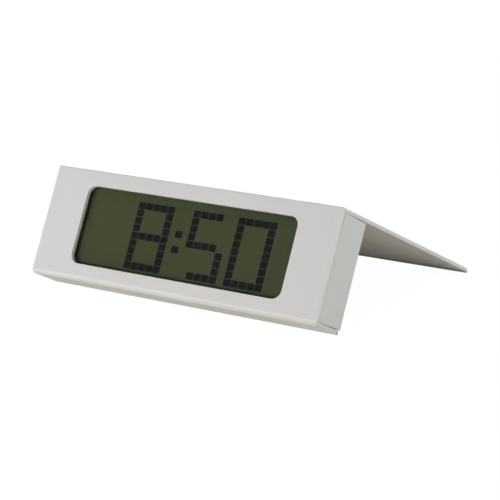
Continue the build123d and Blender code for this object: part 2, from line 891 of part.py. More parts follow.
with BuildPart() as switch_cases:
    with BuildSketch(facing(board_rear)):
        with Locations(*button_spots.values()):
            Rectangle(tact_size, tact_size)
    extrude(amount=-tact_height)
    with BuildSketch(facing(tact_top)):
        with Locations(*button_spots.values()):
            Circle(plunger_radius + plunger_clearance)
    extrude(amount=plunger_engaged + button_travel + plunger_clearance, mode=Mode.SUBTRACT)

switch_cases.part.label = "switch_cases"
export_step(switch_cases.part, "parts/switch_cases.step")

for name, spot in button_spots.items():
    with BuildPart() as plunger:
        with BuildSketch(facing(plunger_bottom)):
            with Locations(spot):
                Circle(plunger_radius)
        extrude(amount=plunger_bottom - plunger_top)
    plunger.part.label = f"{name}_plunger"
    export_step(plunger.part, f"parts/{name}_plunger.step")

# Button caps: cap through the rear wall, flange inside it, stem to the plunger
button_rear = case_depth + button_proud

for name, x in button_columns.items():
    with BuildPart() as button:
        with BuildSketch(facing(flange_front)):
            with Locations((x, button_row)):
                Circle(button_radius + button_flange)
        extrude(amount=-flange_thickness)
        with BuildSketch(facing(flange_rear)):
            with Locations((x, button_row)):
                Circle(button_radius)
        extrude(amount=flange_rear - button_rear)
        fillet(button.edges().sort_by(depth_of)[-1], button_round)
        with BuildSketch(facing(flange_front)):
            with Locations((x, button_row)):
                Circle(button_stem)
        extrude(amount=flange_front - plunger_top)
    button.part.label = f"{name}_button"
    export_step(button.part, f"parts/{name}_button.step")

with BuildPart() as snooze_button:
    with BuildSketch(facing(flange_front)):
        with Locations((snooze_x, snooze_v)):
            SlotOverall(snooze_length + 2 * button_flange, snooze_height + 2 * button_flange)
    extrude(amount=-flange_thickness)
    with BuildSketch(facing(flange_rear)):
        with Locations((snooze_x, snooze_v)):
            SlotOverall(snooze_length, snooze_height)
    extrude(amount=flange_rear - button_rear)
    fillet(snooze_button.faces().sort_by(depth_of)[-1].edges(), button_round)
    with BuildSketch(facing(flange_front)):
        with Locations((snooze_x, snooze_v)):
            Circle(button_stem)
    extrude(amount=flange_front - plunger_top)

snooze_button.part.label = "snooze_button"
export_step(snooze_button.part, "parts/snooze_button.step")

# Alarm on-off: slide switch case, its lever, and the thumb piece outside the rear wall
with BuildPart() as slide_switch_case:
    with BuildSketch(facing(board_rear)):
        with Locations((slide_switch_x, button_row)):
            Rectangle(slide_case_length, slide_case_height)
    extrude(amount=-slide_case_depth)
    with BuildSketch(facing(board_rear + slide_case_depth)):
        with Locations((slide_switch_x, button_row)):
            Rectangle(
                lever_size + slider_travel + 2 * plunger_clearance,
                lever_size + 2 * plunger_clearance,
            )
    extrude(amount=slide_case_wall + plunger_clearance, mode=Mode.SUBTRACT)

slide_switch_case.part.label = "slide_switch_case"
export_step(slide_switch_case.part, "parts/slide_switch_case.step")

with BuildPart() as slide_switch_lever:
    with BuildSketch(facing(lever_base)):
        with Locations((slider_x, button_row)):
            Rectangle(lever_size, lever_size)
    extrude(amount=lever_base - lever_top)

slide_switch_lever.part.label = "slide_switch_lever"
export_step(slide_switch_lever.part, "parts/slide_switch_lever.step")

slider_foot = board_rear + slide_case_depth + flange_gap
slider_rear = case_depth + slider_proud

with BuildPart() as alarm_slider:
    with BuildSketch(facing(flange_front)):
        with Locations((slider_x, button_row)):
            Rectangle(slider_stem_length + 2 * slider_travel, slider_stem_height + slider_travel)
    extrude(amount=-flange_thickness)
    with BuildSketch(facing(slider_foot)):
        with Locations((slider_x, button_row)):
            Rectangle(slider_stem_length, slider_stem_height)
    extrude(amount=slider_foot - case_depth - flange_gap)
    with BuildSketch(facing(slider_foot)):
        with Locations((slider_x, button_row)):
            Rectangle(lever_size + 2 * plunger_clearance, lever_size + 2 * plunger_clearance)
    extrude(amount=slider_foot - lever_top - plunger_clearance, mode=Mode.SUBTRACT)
    with BuildSketch(facing(case_depth + flange_gap)):
        with Locations((slider_x, button_row)):
            RectangleRounded(slider_length, slider_height, button_round)
    extrude(amount=case_depth + flange_gap - slider_rear)
    with BuildSketch(facing(slider_rear)):
        with Locations((slider_x, button_row)):
            with GridLocations(3 * grip_width, 0, 3, 1):
                Rectangle(grip_width, slider_height - 2 * button_round)
    extrude(amount=-grip_height)

alarm_slider.part.label = "alarm_slider"
export_step(alarm_slider.part, "parts/alarm_slider.step")

# Battery cells, head to tail, and their printed sleeves
cells = (
    (upper_cell_v, bay_left + contact_thickness, 1),
    (lower_cell_v, bay_right - contact_thickness, -1),
)

with BuildPart() as battery_cells:
    for v, nub_x, side in cells:
        with BuildSketch(across(nub_x)):
            with Locations((cell_depth, v)):
                Circle(cell_nub_radius)
        extrude(amount=side * cell_nub_length)
        with BuildSketch(across(nub_x + side * cell_nub_length)):
            with Locations((cell_depth, v)):
                Circle(cell_radius - cell_sleeve)
        extrude(amount=side * (cell_length - cell_nub_length))

battery_cells.part.label = "battery_cells"
export_step(battery_cells.part, "parts/battery_cells.step")

with BuildPart() as cell_sleeves:
    for v, nub_x, side in cells:
        with BuildSketch(across(nub_x + side * (cell_nub_length + cell_end_rim))):
            with Locations((cell_depth, v)):
                Circle(cell_radius)
                Circle(cell_radius - cell_sleeve, mode=Mode.SUBTRACT)
        extrude(amount=side * (cell_length - cell_nub_length - 2 * cell_end_rim))

cell_sleeves.part.label = "cell_sleeves"
export_step(cell_sleeves.part, "parts/cell_sleeves.step")

# Battery contacts: plates at the bay's ends, coil springs for the cells' flat ends
spring_bite = spring_wire / 3  # sunk into the plate, so that plate and coil are one solid
spring_height = spring_space - spring_bite - spring_wire / 2 - cell_seat / 2
spring_pitch = spring_height / spring_turns
spring_cone = degrees(atan2(spring_radius - spring_tip_radius, spring_height))


def contact_coil(x, side, v):
    """Cone-shaped coil that stands on the plate at x and points to the cell's side."""
    start = x + side * (spring_wire / 2 - spring_bite)
    with BuildPart() as coil:
        with BuildLine() as turns:
            Helix(
                pitch=spring_pitch,
                height=spring_height,
                radius=spring_radius,
                center=place(start, v, cell_depth),
                direction=(side, 0, 0),
                cone_angle=-spring_cone,
            )
        with BuildSketch(Plane(origin=turns.line @ 0, z_dir=turns.line % 0)):
            Circle(spring_wire / 2)
        sweep(is_frenet=True)
    return coil.part


link_face = bay_left + contact_thickness
wired_face = bay_right - contact_thickness
link_coil = contact_coil(link_face, 1, lower_cell_v)
negative_coil = contact_coil(wired_face, -1, upper_cell_v)

with BuildPart() as contact_link:
    with BuildSketch(across(bay_left)):
        with Locations((cell_depth, (lower_cell_v + upper_cell_v) / 2)):
            Rectangle(contact_size, upper_cell_v - lower_cell_v + contact_size)
    extrude(amount=contact_thickness)
    add(link_coil)

contact_link.part.label = "contact_link"
export_step(contact_link.part, "parts/contact_link.step")

with BuildPart() as contact_negative:
    with BuildSketch(across(wired_face)):
        with Locations((cell_depth, upper_cell_v)):
            Rectangle(contact_size, contact_size)
    extrude(amount=contact_thickness)
    with BuildSketch(across(wired_face)):
        with Locations((cell_depth, upper_cell_v)):
            Rectangle(contact_thickness, contact_tab_width)
    extrude(amount=contact_thickness + bay_wall + contact_tab_reach)
    add(negative_coil)

contact_negative.part.label = "contact_negative"
export_step(contact_negative.part, "parts/contact_negative.step")

with BuildPart() as contact_positive:
    with BuildSketch(across(wired_face)):
        with Locations((cell_depth, lower_cell_v)):
            Rectangle(contact_size, contact_size)
    extrude(amount=contact_thickness)
    with BuildSketch(across(wired_face)):
        with Locations((cell_depth, lower_cell_v)):
            Rectangle(contact_thickness, contact_tab_width)
    extrude(amount=contact_thickness + bay_wall + contact_tab_reach)

contact_positive.part.label = "contact_positive"
export_step(contact_positive.part, "parts/contact_positive.step")

# Battery door: plate in its recess, two hooks at the lower edge, a latch tongue at the upper
hook_bottom = door_bottom + hook_clearance
hook_stem_bottom = bay_bottom + door_clearance
rib_front = door_inner - door_rib_height

with BuildPart() as battery_door:
    with BuildSketch(facing(door_inner)):
        with Locations((bay_x, bay_v)):
            RectangleRounded(door_length, door_height, door_corner)
        for side in (-1, 1):
            with Locations((bay_x + side * (latch_width + latch_slot) / 2, door_top)):
                Rectangle(latch_slot, 2 * latch_length, mode=Mode.SUBTRACT)
    extrude(amount=-door_thickness)
    for x in hook_spots:
        with BuildSketch(across(x - hook_width / 2)):
            with BuildLine():
                Polyline(
                    (door_inner, hook_stem_bottom),
                    (door_inner, hook_stem_bottom + hook_stem),
                    (hook_front, hook_stem_bottom + hook_stem),
                    (hook_front, hook_bottom),
                    (hook_top, hook_bottom),
                    (hook_top, hook_stem_bottom),
                    close=True,
                )
            make_face()
        extrude(amount=hook_width)
    with BuildSketch(facing(rib_front)):
        with Locations((bay_x - door_rib_spread, bay_v), (bay_x + door_rib_spread, bay_v)):
            Rectangle(door_rib, bay_height - 2 * cell_radius)
    extrude(amount=-door_rib_height)
    with BuildSketch(facing(case_depth)):
        with Locations((bay_x, door_top - latch_length / 2)):
            with GridLocations(0, 3 * grip_width, 1, 3):
                Rectangle(latch_width - 4 * grip_width, grip_width)
    extrude(amount=-grip_height)

battery_door.part.label = "battery_door"
export_step(battery_door.part, "parts/battery_door.step")

# Buzzer: brass disc with its ceramic, on the rim inside the rear wall
buzzer_seat = case_inner - buzzer_rim_height + buzzer_seat_depth
buzzer_plate_front = buzzer_seat - buzzer_plate_thickness
buzzer_ceramic_front = buzzer_plate_front - buzzer_ceramic_thickness

with BuildPart() as buzzer_plate:
    with BuildSketch(facing(buzzer_plate_front)):
        with Locations((buzzer_x, buzzer_v)):
            Circle(buzzer_radius)
    extrude(amount=-buzzer_plate_thickness)

buzzer_plate.part.label = "buzzer_plate"
export_step(buzzer_plate.part, "parts/buzzer_plate.step")

with BuildPart() as buzzer_ceramic:
    with BuildSketch(facing(buzzer_ceramic_front)):
        with Locations((buzzer_x, buzzer_v)):
            Circle(buzzer_ceramic_radius)
    extrude(amount=-buzzer_ceramic_thickness)

buzzer_ceramic.part.label = "buzzer_ceramic"
export_step(buzzer_ceramic.part, "parts/buzzer_ceramic.step")


# Wires: contacts to board, buzzer to board
for name, v in (("positive_wire", lower_cell_v), ("negative_wire", upper_cell_v)):
    with BuildPart() as wire:
        with BuildLine() as route:
            FilletPolyline(
                place(tab_end, v, cell_depth),
                place(pad_x, v, cell_depth),
                place(pad_x, v, board_rear),
                radius=wire_bend,
            )
        with BuildSketch(Plane(origin=route.line @ 0, z_dir=route.line % 0)):
            Circle(wire_radius)
        sweep()
    wire.part.label = name
    export_step(wire.part, f"parts/{name}.step")

buzzer_wire_ends = (
    (buzzer_v + buzzer_wire_rise, buzzer_x, buzzer_ceramic_front),
    (buzzer_v - buzzer_wire_rise, buzzer_x - buzzer_radius + wire_bend / 2, buzzer_plate_front),
)

with BuildPart() as buzzer_wires:
    for v, x, front in buzzer_wire_ends:
        with BuildLine() as route:
            FilletPolyline(
                place(x, v, front),
                place(x, v, buzzer_wire_depth),
                place(buzzer_pad_x, v, buzzer_wire_depth),
                place(buzzer_pad_x, v, board_rear),
                radius=buzzer_wire_bend,
            )
        with BuildSketch(Plane(origin=route.line @ 0, z_dir=route.line % 0)):
            Circle(wire_radius)
        sweep()

buzzer_wires.part.label = "buzzer_wires"
export_step(buzzer_wires.part, "parts/buzzer_wires.step")
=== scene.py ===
# %% [markdown]
# # A white digital alarm clock
#
# The clock is one folded sheet of white plastic: a short lip on the table, a leaning front plate
# and a long rear leg. A shallow case behind the plate holds the display and the battery cells.
# The solids are already made and packed, so this lesson starts by loading them as a fixed frame.
# Everything added later is in metres, in the same place and size as those solids.

from math import cos, pi, radians, sin

import bpy
import numpy as np
from mathutils import Matrix, Vector


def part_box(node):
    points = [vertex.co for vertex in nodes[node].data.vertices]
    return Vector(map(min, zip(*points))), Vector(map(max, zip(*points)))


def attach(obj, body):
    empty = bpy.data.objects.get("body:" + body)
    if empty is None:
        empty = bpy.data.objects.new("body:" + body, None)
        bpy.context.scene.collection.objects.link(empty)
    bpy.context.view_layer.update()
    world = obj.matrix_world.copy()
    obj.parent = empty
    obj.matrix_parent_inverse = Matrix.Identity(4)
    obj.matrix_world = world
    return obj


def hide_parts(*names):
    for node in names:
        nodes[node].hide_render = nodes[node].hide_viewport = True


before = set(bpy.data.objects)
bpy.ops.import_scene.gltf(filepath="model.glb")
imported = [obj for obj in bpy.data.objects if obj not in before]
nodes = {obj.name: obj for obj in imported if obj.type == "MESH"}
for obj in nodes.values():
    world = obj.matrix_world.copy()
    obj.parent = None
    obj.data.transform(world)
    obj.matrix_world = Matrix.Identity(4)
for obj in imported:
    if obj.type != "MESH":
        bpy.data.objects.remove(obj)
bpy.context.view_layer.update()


# %% [markdown]
# ## Places on the clock
#
# The front plate leans back, so a place on the case is easiest to say as three numbers: x along
# the clock, height up the plate, and depth behind its face. The frame's boxes give the corner
# where plate and lip would meet, and two unit vectors turn the three numbers into metres.

# %% The leaning frame of the front plate
MM = 0.001
LEAN = radians(26.0)
RISE = np.array((0.0, sin(LEAN), cos(LEAN)))
INTO = np.array((0.0, cos(LEAN), -sin(LEAN)))

WIDTH = 160.0 * MM
FRONT_HEIGHT = 53.5 * MM
LIP_DEPTH = 20.55 * MM
FOOT_LANDING = 0.2 * MM
BEND_RADIUS = 2.4 * MM

bend_loss = BEND_RADIUS * (cos(LEAN) + sin(LEAN) - 1)
shell_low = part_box("front_shell")[0]
CORNER = np.array((0.0, shell_low[1] - bend_loss, LIP_DEPTH * sin(LEAN) - FOOT_LANDING))


def place(x, height, depth):
    """Points at corner + x + height * rise + depth * into; arrays give arrays of points."""
    x, height, depth = (np.asarray(value, dtype=float)[..., None] for value in (x, height, depth))
    return CORNER + x * np.array((1.0, 0.0, 0.0)) + height * RISE + depth * INTO


print("corner of plate and lip:", CORNER.round(5))


# %% [markdown]
# ## Camera
#
# A long lens from the front right and a little above gives the flat perspective of a product
# picture. The camera looks straight along one direction, and the clock is framed by moving the
# camera sideways and up, so that no lens shift is needed.

# %% Place the camera
LENS = 130.94
SENSOR = 36.0
VIEW_AROUND = radians(33.654)
VIEW_ABOVE = radians(14.575)
VIEW_DISTANCE = 829.79 * MM
VIEW_RIGHT = 38.369 * MM
VIEW_UP = 30.326 * MM
CLEAR_LAYERS = 32  # the display is a pile of clear sheets, and light has to pass them all

backward = Vector(
    (
        sin(VIEW_AROUND) * cos(VIEW_ABOVE),
        -cos(VIEW_AROUND) * cos(VIEW_ABOVE),
        sin(VIEW_ABOVE),
    )
)
sideways = Vector((cos(VIEW_AROUND), sin(VIEW_AROUND), 0.0))
upward = backward.cross(sideways)
aim = Vector((0.0, CORNER[1], -FOOT_LANDING))

camera_data = bpy.data.cameras.new("camera")
camera_data.lens = LENS
camera_data.sensor_width = SENSOR
camera = bpy.data.objects.new("camera", camera_data)
bpy.context.scene.collection.objects.link(camera)
turn = Matrix((sideways, upward, backward)).transposed().to_4x4()
camera.matrix_world = (
    Matrix.Translation(aim + backward * VIEW_DISTANCE + sideways * VIEW_RIGHT + upward * VIEW_UP)
    @ turn
)
bpy.context.scene.camera = camera
bpy.context.scene.view_settings.view_transform = "Standard"
bpy.context.scene.cycles.transparent_max_bounces = CLEAR_LAYERS
print("camera at", [round(value, 4) for value in camera.location])


# %% [markdown]
# ## Colours and nodes
#
# Colours are written as sRGB hex values, as a paint card gives them, and one function turns them
# to the linear values that the shader needs. One more function adds a node, sets it up and links
# it, so that each finish below reads as a short recipe.

# %% Helpers for finishes
NOISE_LOW, NOISE_HIGH = 0.3, 0.7  # noise rarely leaves this range


def linear(code, alpha=1.0):
    """sRGB hex to linear: channel c becomes ((c + 0.055) / 1.055) ** 2.4, or c / 12.92 if dark."""
    channels = np.array([int(code[i : i + 2], 16) / 255 for i in (1, 3, 5)])
    bright = ((channels + 0.055) / 1.055) ** 2.4
    return (*np.where(channels <= 0.04045, channels / 12.92, bright).tolist(), alpha)


def per_metre(size_mm):
    """Texture scale that repeats once in a real size given in millimetres."""
    return 1000.0 / size_mm


def add_node(tree, kind, sockets=None, **settings):
    """Add one node: settings are its properties, sockets hold constants or outputs to link."""
    made = tree.nodes.new(kind)
    for name, value in settings.items():
        setattr(made, name, value)
    for name, value in (sockets or {}).items():
        if isinstance(value, bpy.types.NodeSocket):
            tree.links.new(value, made.inputs[name])
        else:
            made.inputs[name].default_value = value
    return made


def new_finish(name, **constants):
    """New material with its shader's constants set; returns material, node tree and shader."""
    material = bpy.data.materials.new(name)
    material.use_nodes = True
    tree = material.node_tree
    shader = tree.nodes["Principled BSDF"]
    for socket, value in constants.items():
        shader.inputs[socket.replace("_", " ")].default_value = value
    return material, tree, shader


def noise(tree, size_mm, detail=2.0):
    """Noise with features of a real size, fixed to the object; returns its factor output."""
    where = add_node(tree, "ShaderNodeTexCoord").outputs["Object"]
    made = add_node(
        tree,
        "ShaderNodeTexNoise",
        {"Vector": where, "Scale": per_metre(size_mm), "Detail": detail},
    )
    return made.outputs["Fac"]


def vary_colour(tree, shader, factor, first, second):
    """Base colour that runs from one hex value to another over the noise's usual range."""
    ramp = add_node(tree, "ShaderNodeValToRGB", {"Fac": factor})
    ramp.color_ramp.elements[0].position = NOISE_LOW
    ramp.color_ramp.elements[0].color = linear(first)
    ramp.color_ramp.elements[1].position = NOISE_HIGH
    ramp.color_ramp.elements[1].color = linear(second)
    tree.links.new(ramp.outputs["Color"], shader.inputs["Base Color"])


def vary_roughness(tree, shader, factor, low, high):
    """Roughness that runs from low to high over the noise's usual range."""
    noise_range = {"From Min": NOISE_LOW, "From Max": NOISE_HIGH}
    spread = add_node(
        tree, "ShaderNodeMapRange", {"Value": factor, **noise_range, "To Min": low, "To Max": high}
    )
    tree.links.new(spread.outputs["Result"], shader.inputs["Roughness"])


def raise_grain(tree, shader, factor, height_mm, strength=1.0):
    """Bump whose highest grain stands a real height above the lowest."""
    bump = add_node(
        tree,
        "ShaderNodeBump",
        {"Height": factor, "Distance": height_mm * MM, "Strength": strength},
    )
    tree.links.new(bump.outputs["Normal"], shader.inputs["Normal"])


print("a middle grey in linear values:", [round(c, 3) for c in linear("#808080")])


# %% [markdown]
# ## Moulded plastic
#
# The shell is injection-moulded ABS with a fine spark-eroded texture. The eye sees a satin white
# without grain, a very slight cloudiness where the melt flowed, and soft wide highlights. The
# real texture is about 0.05 mm across, too fine to show, so it is drawn 0.5 mm across and very
# shallow. The same recipe, in other colours, makes the rear case, the caps and the holder. The
# case is drawn a trace cooler than the shell: a painted cool tint that offsets the warm light
# falling on the end panel.

# %% Satin moulded plastics
ABS_IOR = 1.53
SATIN_SPREAD = 0.05


def moulded(name, first, second, roughness=0.5, flow_mm=45.0, grain_mm=0.5, depth_mm=0.004):
    """ABS as it leaves the mould: cloudy flow marks, fine even grain and a satin gloss."""
    material, tree, shader = new_finish(name, Roughness=roughness, IOR=ABS_IOR)
    flow = noise(tree, flow_mm)
    grain = noise(tree, grain_mm, detail=1.0)
    vary_colour(tree, shader, flow, first, second)
    vary_roughness(tree, shader, grain, roughness - SATIN_SPREAD, roughness + SATIN_SPREAD)
    raise_grain(tree, shader, grain, depth_mm)
    return material


shell_white = moulded("white_abs_shell", "#E9E9E9", "#EDEDED", roughness=0.38)
# a trace cooler than the shell: painted cool tint that offsets the warm light on the end panel
case_white = moulded("white_abs_case", "#E4E6E9", "#E9EBEE", roughness=0.42)
cap_grey = moulded("grey_abs_caps", "#8E8F8F", "#989999", roughness=0.45, flow_mm=8.0)
holder_black = moulded("black_abs_holder", "#1C1C1C", "#262626", roughness=0.55, flow_mm=12.0)
switch_black = moulded("black_nylon_switch", "#161616", "#202020", roughness=0.5, flow_mm=3.0)
plunger_black = moulded("black_acetal_plunger", "#1A1A1C", "#242426", roughness=0.35, flow_mm=2.0)
print("moulded plastics made:", len(bpy.data.materials))


# %% [markdown]
# ## Soft strips and foam
#
# The clock stands on two strips of soft plastic rubber, one on the lip and one under the leg.
# They are cast against a matt mould, so they have almost no gloss. The window's gasket is a
# charcoal foam tape with open cells about 0.3 mm wide. The same charcoal fills the end joints as
# painted shade, standing in for the shadow inside those gaps.

# %% Rubber and foam
RUBBER_IOR = 1.5


def soft(name, first, second, cell_mm, depth_mm, roughness=0.85):
    """Rubber or foam: matt, with small dull pits."""
    material, tree, shader = new_finish(name, Roughness=roughness, IOR=RUBBER_IOR)
    cells = noise(tree, cell_mm, detail=3.0)
    vary_colour(tree, shader, cells, first, second)
    raise_grain(tree, shader, cells, depth_mm)
    return material


strip_grey = soft("grey_soft_strip", "#8C8A86", "#989691", 0.6, 0.02)
strip_white = soft("white_soft_strip", "#EBE6D9", "#F1ECE0", 0.6, 0.02)
# charcoal foam for the window's gasket; the same colour is painted shade in the end joints
gasket_foam_and_joint_shade = soft("black_foam_tape_and_joint_shade", "#32332E", "#3F403A", 0.3, 0.05, roughness=0.95)
print("soft finishes made")


# %% [markdown]
# ## The display
#
# A liquid crystal display is a pile of thin sheets. The lens, the front film and the front glass
# are nearly clear, and the rear glass carries a film that gives the dark olive ground. The dots lie
# between the glasses. The clear sheets are drawn with a low alpha, because real refraction through
# so many touching sheets only adds noise. The sheets are glued face to face, so light is reflected
# only where it meets air: the lens has a gloss, and the layers behind it have none, which keeps
# the ground dark.

# %% Glass, films and dots
ACRYLIC_IOR, GLASS_IOR = 1.49, 1.52
FULL_GLOSS, NO_GLOSS = 0.5, 0.0
HAZE_MM, CLOUD_MM = 30.0, 35.0
HAZE_SPREAD = 0.03


def clear_sheet(name, code, alpha, roughness, ior=ACRYLIC_IOR, gloss=FULL_GLOSS):
    """Thin clear sheet: its alpha is how much of its own colour and gloss it adds."""
    constants = {"Base_Color": linear(code), "Roughness": roughness, "IOR": ior, "Alpha": alpha}
    material, tree, shader = new_finish(name, **constants, Specular_IOR_Level=gloss)
    haze = noise(tree, HAZE_MM)
    vary_roughness(tree, shader, haze, roughness - HAZE_SPREAD, roughness + HAZE_SPREAD)
    return material


def dark_film(name, first, second, roughness):
    """Opaque display film: an even dark ground with a slight cloudiness."""
    material, tree, shader = new_finish(name, Roughness=roughness, Specular_IOR_Level=NO_GLOSS)
    vary_colour(tree, shader, noise(tree, CLOUD_MM), first, second)
    return material


lens_clear = clear_sheet("clear_acrylic_lens", "#3A3C36", 0.03, 0.3)
film_front = clear_sheet("grey_polarising_film", "#3C3E36", 0.04, 0.4, gloss=NO_GLOSS)
glass_front = clear_sheet("clear_front_glass", "#3C4038", 0.02, 0.2, GLASS_IOR, NO_GLOSS)
ground_olive = dark_film("olive_rear_glass", "#575E41", "#5C6346", 0.5)
film_rear = dark_film("olive_reflecting_film", "#575E41", "#5C6346", 0.5)
dots_dark = dark_film("dark_display_dots", "#1A2025", "#1F252A", 0.5)
guide_clear = clear_sheet("clear_light_guide", "#D8DCD4", 0.5, 0.25)
reflector_white = dark_film("white_reflector_film", "#D9DAD8", "#E0E1DF", 0.4)
print("display finishes made")


# %% [markdown]
# ## Metals and small parts
#
# The contacts are nickel-plated spring steel, the screws zinc-plated steel, the buzzer disc
# rolled brass with a silvered ceramic. Metals keep the shader's own IOR, and a slight bloom in
# the plating breaks up their gloss. Resin, glaze and insulation are smooth, with a clear highlight.

# %% Metals
BLOOM_DOWN, BLOOM_UP = 0.06, 0.08


def metal(name, first, second, roughness, bloom_mm=2.0):
    """Plated or rolled metal: full metallic, with a slight bloom in colour and gloss."""
    material, tree, shader = new_finish(name, Roughness=roughness, Metallic=1.0)
    bloom = noise(tree, bloom_mm)
    vary_colour(tree, shader, bloom, first, second)
    vary_roughness(tree, shader, bloom, roughness - BLOOM_DOWN, roughness + BLOOM_UP)
    return material


nickel = metal("nickel_plated_contact", "#C9C6BE", "#D6D4CE", 0.28)
zinc = metal("zinc_plated_screw", "#B4B6B8", "#C4C6C8", 0.35, bloom_mm=1.0)
can_steel = metal("bright_steel_can", "#C4C4C2", "#CECECC", 0.25, bloom_mm=6.0)
aluminium = metal("drawn_aluminium_can", "#BFC0C2", "#CBCCCE", 0.3)
solder = metal("tin_solder", "#B9BBBC", "#CBCCCD", 0.22)
brass = metal("rolled_brass_disc", "#C9A45C", "#D4B26C", 0.3, bloom_mm=4.0)
print("metals made")


# %% Resin, ceramic, insulation and printed film
RESIN_IOR = 1.52


def glossy(name, first, second, roughness=0.3, flow_mm=3.0):
    """Cured resin, glaze or insulation: smooth, with a clear highlight."""
    material, tree, shader = new_finish(name, Roughness=roughness, IOR=RESIN_IOR)
    flow = noise(tree, flow_mm)
    vary_colour(tree, shader, flow, first, second)
    vary_roughness(tree, shader, flow, roughness - SATIN_SPREAD, roughness + BLOOM_UP)
    return material


resin_black = glossy("black_epoxy_resin", "#0C0C0D", "#17171A", 0.25)
ceramic_white = glossy("silvered_ceramic", "#DAD8CF", "#E6E4DC", 0.3)
led_resin = glossy("clear_led_resin", "#E2E0B4", "#ECEAC6", 0.2, flow_mm=1.0)
wire_red = glossy("red_wire_insulation", "#A81D1D", "#B82626", 0.4)
wire_black = glossy("black_wire_insulation", "#131313", "#1D1D1D", 0.4)
wire_grey = glossy("grey_wire_insulation", "#7D7E80", "#8A8B8D", 0.4)
capacitor_film = glossy("dark_capacitor_film", "#1E2440", "#252C4A", 0.3)
print("smooth finishes made")


# %% [markdown]
# ## Patterned finishes
#
# The board shows copper tracks as paler lines under its green mask, with tinned holes. Each
# connector strip is silicone with conducting layers, drawn at 0.6 mm where real ones are finer.
# The cells' sleeves are printed film with bands round them. Patterns on the leaning parts are
# first turned upright, so that their lines run along and across the part.

# %% Tracks, layers and bands
def upright(tree):
    """Object coordinates turned by the lean, so that they read x, height and minus depth."""
    where = add_node(tree, "ShaderNodeTexCoord").outputs["Object"]
    mapping = add_node(
        tree, "ShaderNodeMapping", {"Vector": where, "Rotation": (LEAN - pi / 2, 0.0, 0.0)}
    )
    return mapping.outputs["Vector"]


def lines(tree, where, direction, pitch_mm, share):
    """1 on straight lines that fill a share of their pitch, and 0 between them.

    The wave is 0.5 + 0.5 * sin(20 * scale * distance), so its period is pi / 10 over the scale.
    """
    scale = pi / 10 * per_metre(pitch_mm)
    wave = add_node(
        tree, "ShaderNodeTexWave", {"Vector": where, "Scale": scale}, bands_direction=direction
    )
    edge = 0.5 + 0.5 * cos(pi * share)
    over = {0: wave.outputs["Fac"], 1: edge}
    return add_node(tree, "ShaderNodeMath", over, operation="GREATER_THAN").outputs["Value"]


MIX_VALUES = {"type": "FLOAT", "inputs": (2, 3), "output": 0}  # the node's sockets for values
MIX_COLOURS = {"type": "RGBA", "inputs": (6, 7), "output": 2}  # and for colours


def mixed(tree, factor, first, second):
    """Colour, or value, that is the first at factor 0 and the second at factor 1."""
    kind = MIX_COLOURS if isinstance(second, tuple) else MIX_VALUES
    low, high = kind["inputs"]
    sockets = {0: factor, low: first, high: second}
    made = add_node(tree, "ShaderNodeMix", sockets, data_type=kind["type"])
    return made.outputs[kind["output"]]


# %% Circuit board
TRACK_PITCH_MM, TRACK_SHARE = 1.1, 0.4
REGION_MM, REGION_EDGE = 9.0, 0.5
HOLE_PITCH_MM, HOLE_SHARE = 4.0, 0.1

board_green, board_tree, board_shader = new_finish(
    "green_solder_mask", Roughness=0.35, IOR=RESIN_IOR
)
on_board = upright(board_tree)
along = lines(board_tree, on_board, "X", TRACK_PITCH_MM, TRACK_SHARE)
across = lines(board_tree, on_board, "Y", TRACK_PITCH_MM, TRACK_SHARE)
over_edge = {0: noise(board_tree, REGION_MM), 1: REGION_EDGE}
region = add_node(board_tree, "ShaderNodeMath", over_edge, operation="GREATER_THAN")
track = mixed(board_tree, region.outputs["Value"], along, across)

hole_places = {"Vector": on_board, "Scale": per_metre(HOLE_PITCH_MM)}
holes = add_node(board_tree, "ShaderNodeTexVoronoi", hole_places)
near_hole = {0: holes.outputs["Distance"], 1: HOLE_SHARE}
tinned = add_node(board_tree, "ShaderNodeMath", near_hole, operation="LESS_THAN").outputs["Value"]
masked = mixed(board_tree, track, linear("#124423"), linear("#23683A"))
painted = mixed(board_tree, tinned, masked, linear("#C9CBC8"))
board_tree.links.new(painted, board_shader.inputs["Base Color"])
board_tree.links.new(tinned, board_shader.inputs["Metallic"])
print("board made, with tracks", TRACK_PITCH_MM, "mm apart")

# %% Connector strips
LAYER_PITCH_MM, LAYER_SHARE = 0.6, 0.5

zebra_grey, zebra_tree, zebra_shader = new_finish("layered_silicone", Roughness=0.7, IOR=1.42)
layers = lines(zebra_tree, upright(zebra_tree), "X", LAYER_PITCH_MM, LAYER_SHARE)
silicone = mixed(zebra_tree, layers, linear("#8B8C90"), linear("#1E1E20"))
zebra_tree.links.new(silicone, zebra_shader.inputs["Base Color"])
print("strips made, with layers", LAYER_PITCH_MM, "mm apart")

# %% Cell sleeves
SILVER, BLUE = "#B9BBBE", "#233A60"
BAND_STARTS = (0.0, 0.05, 0.2, 0.23, 0.77, 0.8, 0.95)
SLEEVE_FLOW_MM = 6.0

sleeve_blue, sleeve_tree, sleeve_shader = new_finish(
    "printed_cell_sleeve", Roughness=0.3, IOR=1.55
)
sleeve_low, sleeve_high = (corner[0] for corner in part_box("cell_sleeves"))
sleeve_place = add_node(sleeve_tree, "ShaderNodeTexCoord").outputs["Object"]
sleeve_x = add_node(sleeve_tree, "ShaderNodeSeparateXYZ", {"Vector": sleeve_place}).outputs["X"]
sleeve_ends = {"Value": sleeve_x, "From Min": sleeve_low, "From Max": sleeve_high}
share = add_node(sleeve_tree, "ShaderNodeMapRange", sleeve_ends).outputs["Result"]
bands = add_node(sleeve_tree, "ShaderNodeValToRGB", {"Fac": share})
bands.color_ramp.interpolation = "CONSTANT"
bands.color_ramp.elements[1].position = BAND_STARTS[1]
for start in BAND_STARTS[2:]:
    bands.color_ramp.elements.new(start)
for k, band in enumerate(bands.color_ramp.elements):
    band.color = linear(BLUE if k % 2 else SILVER)
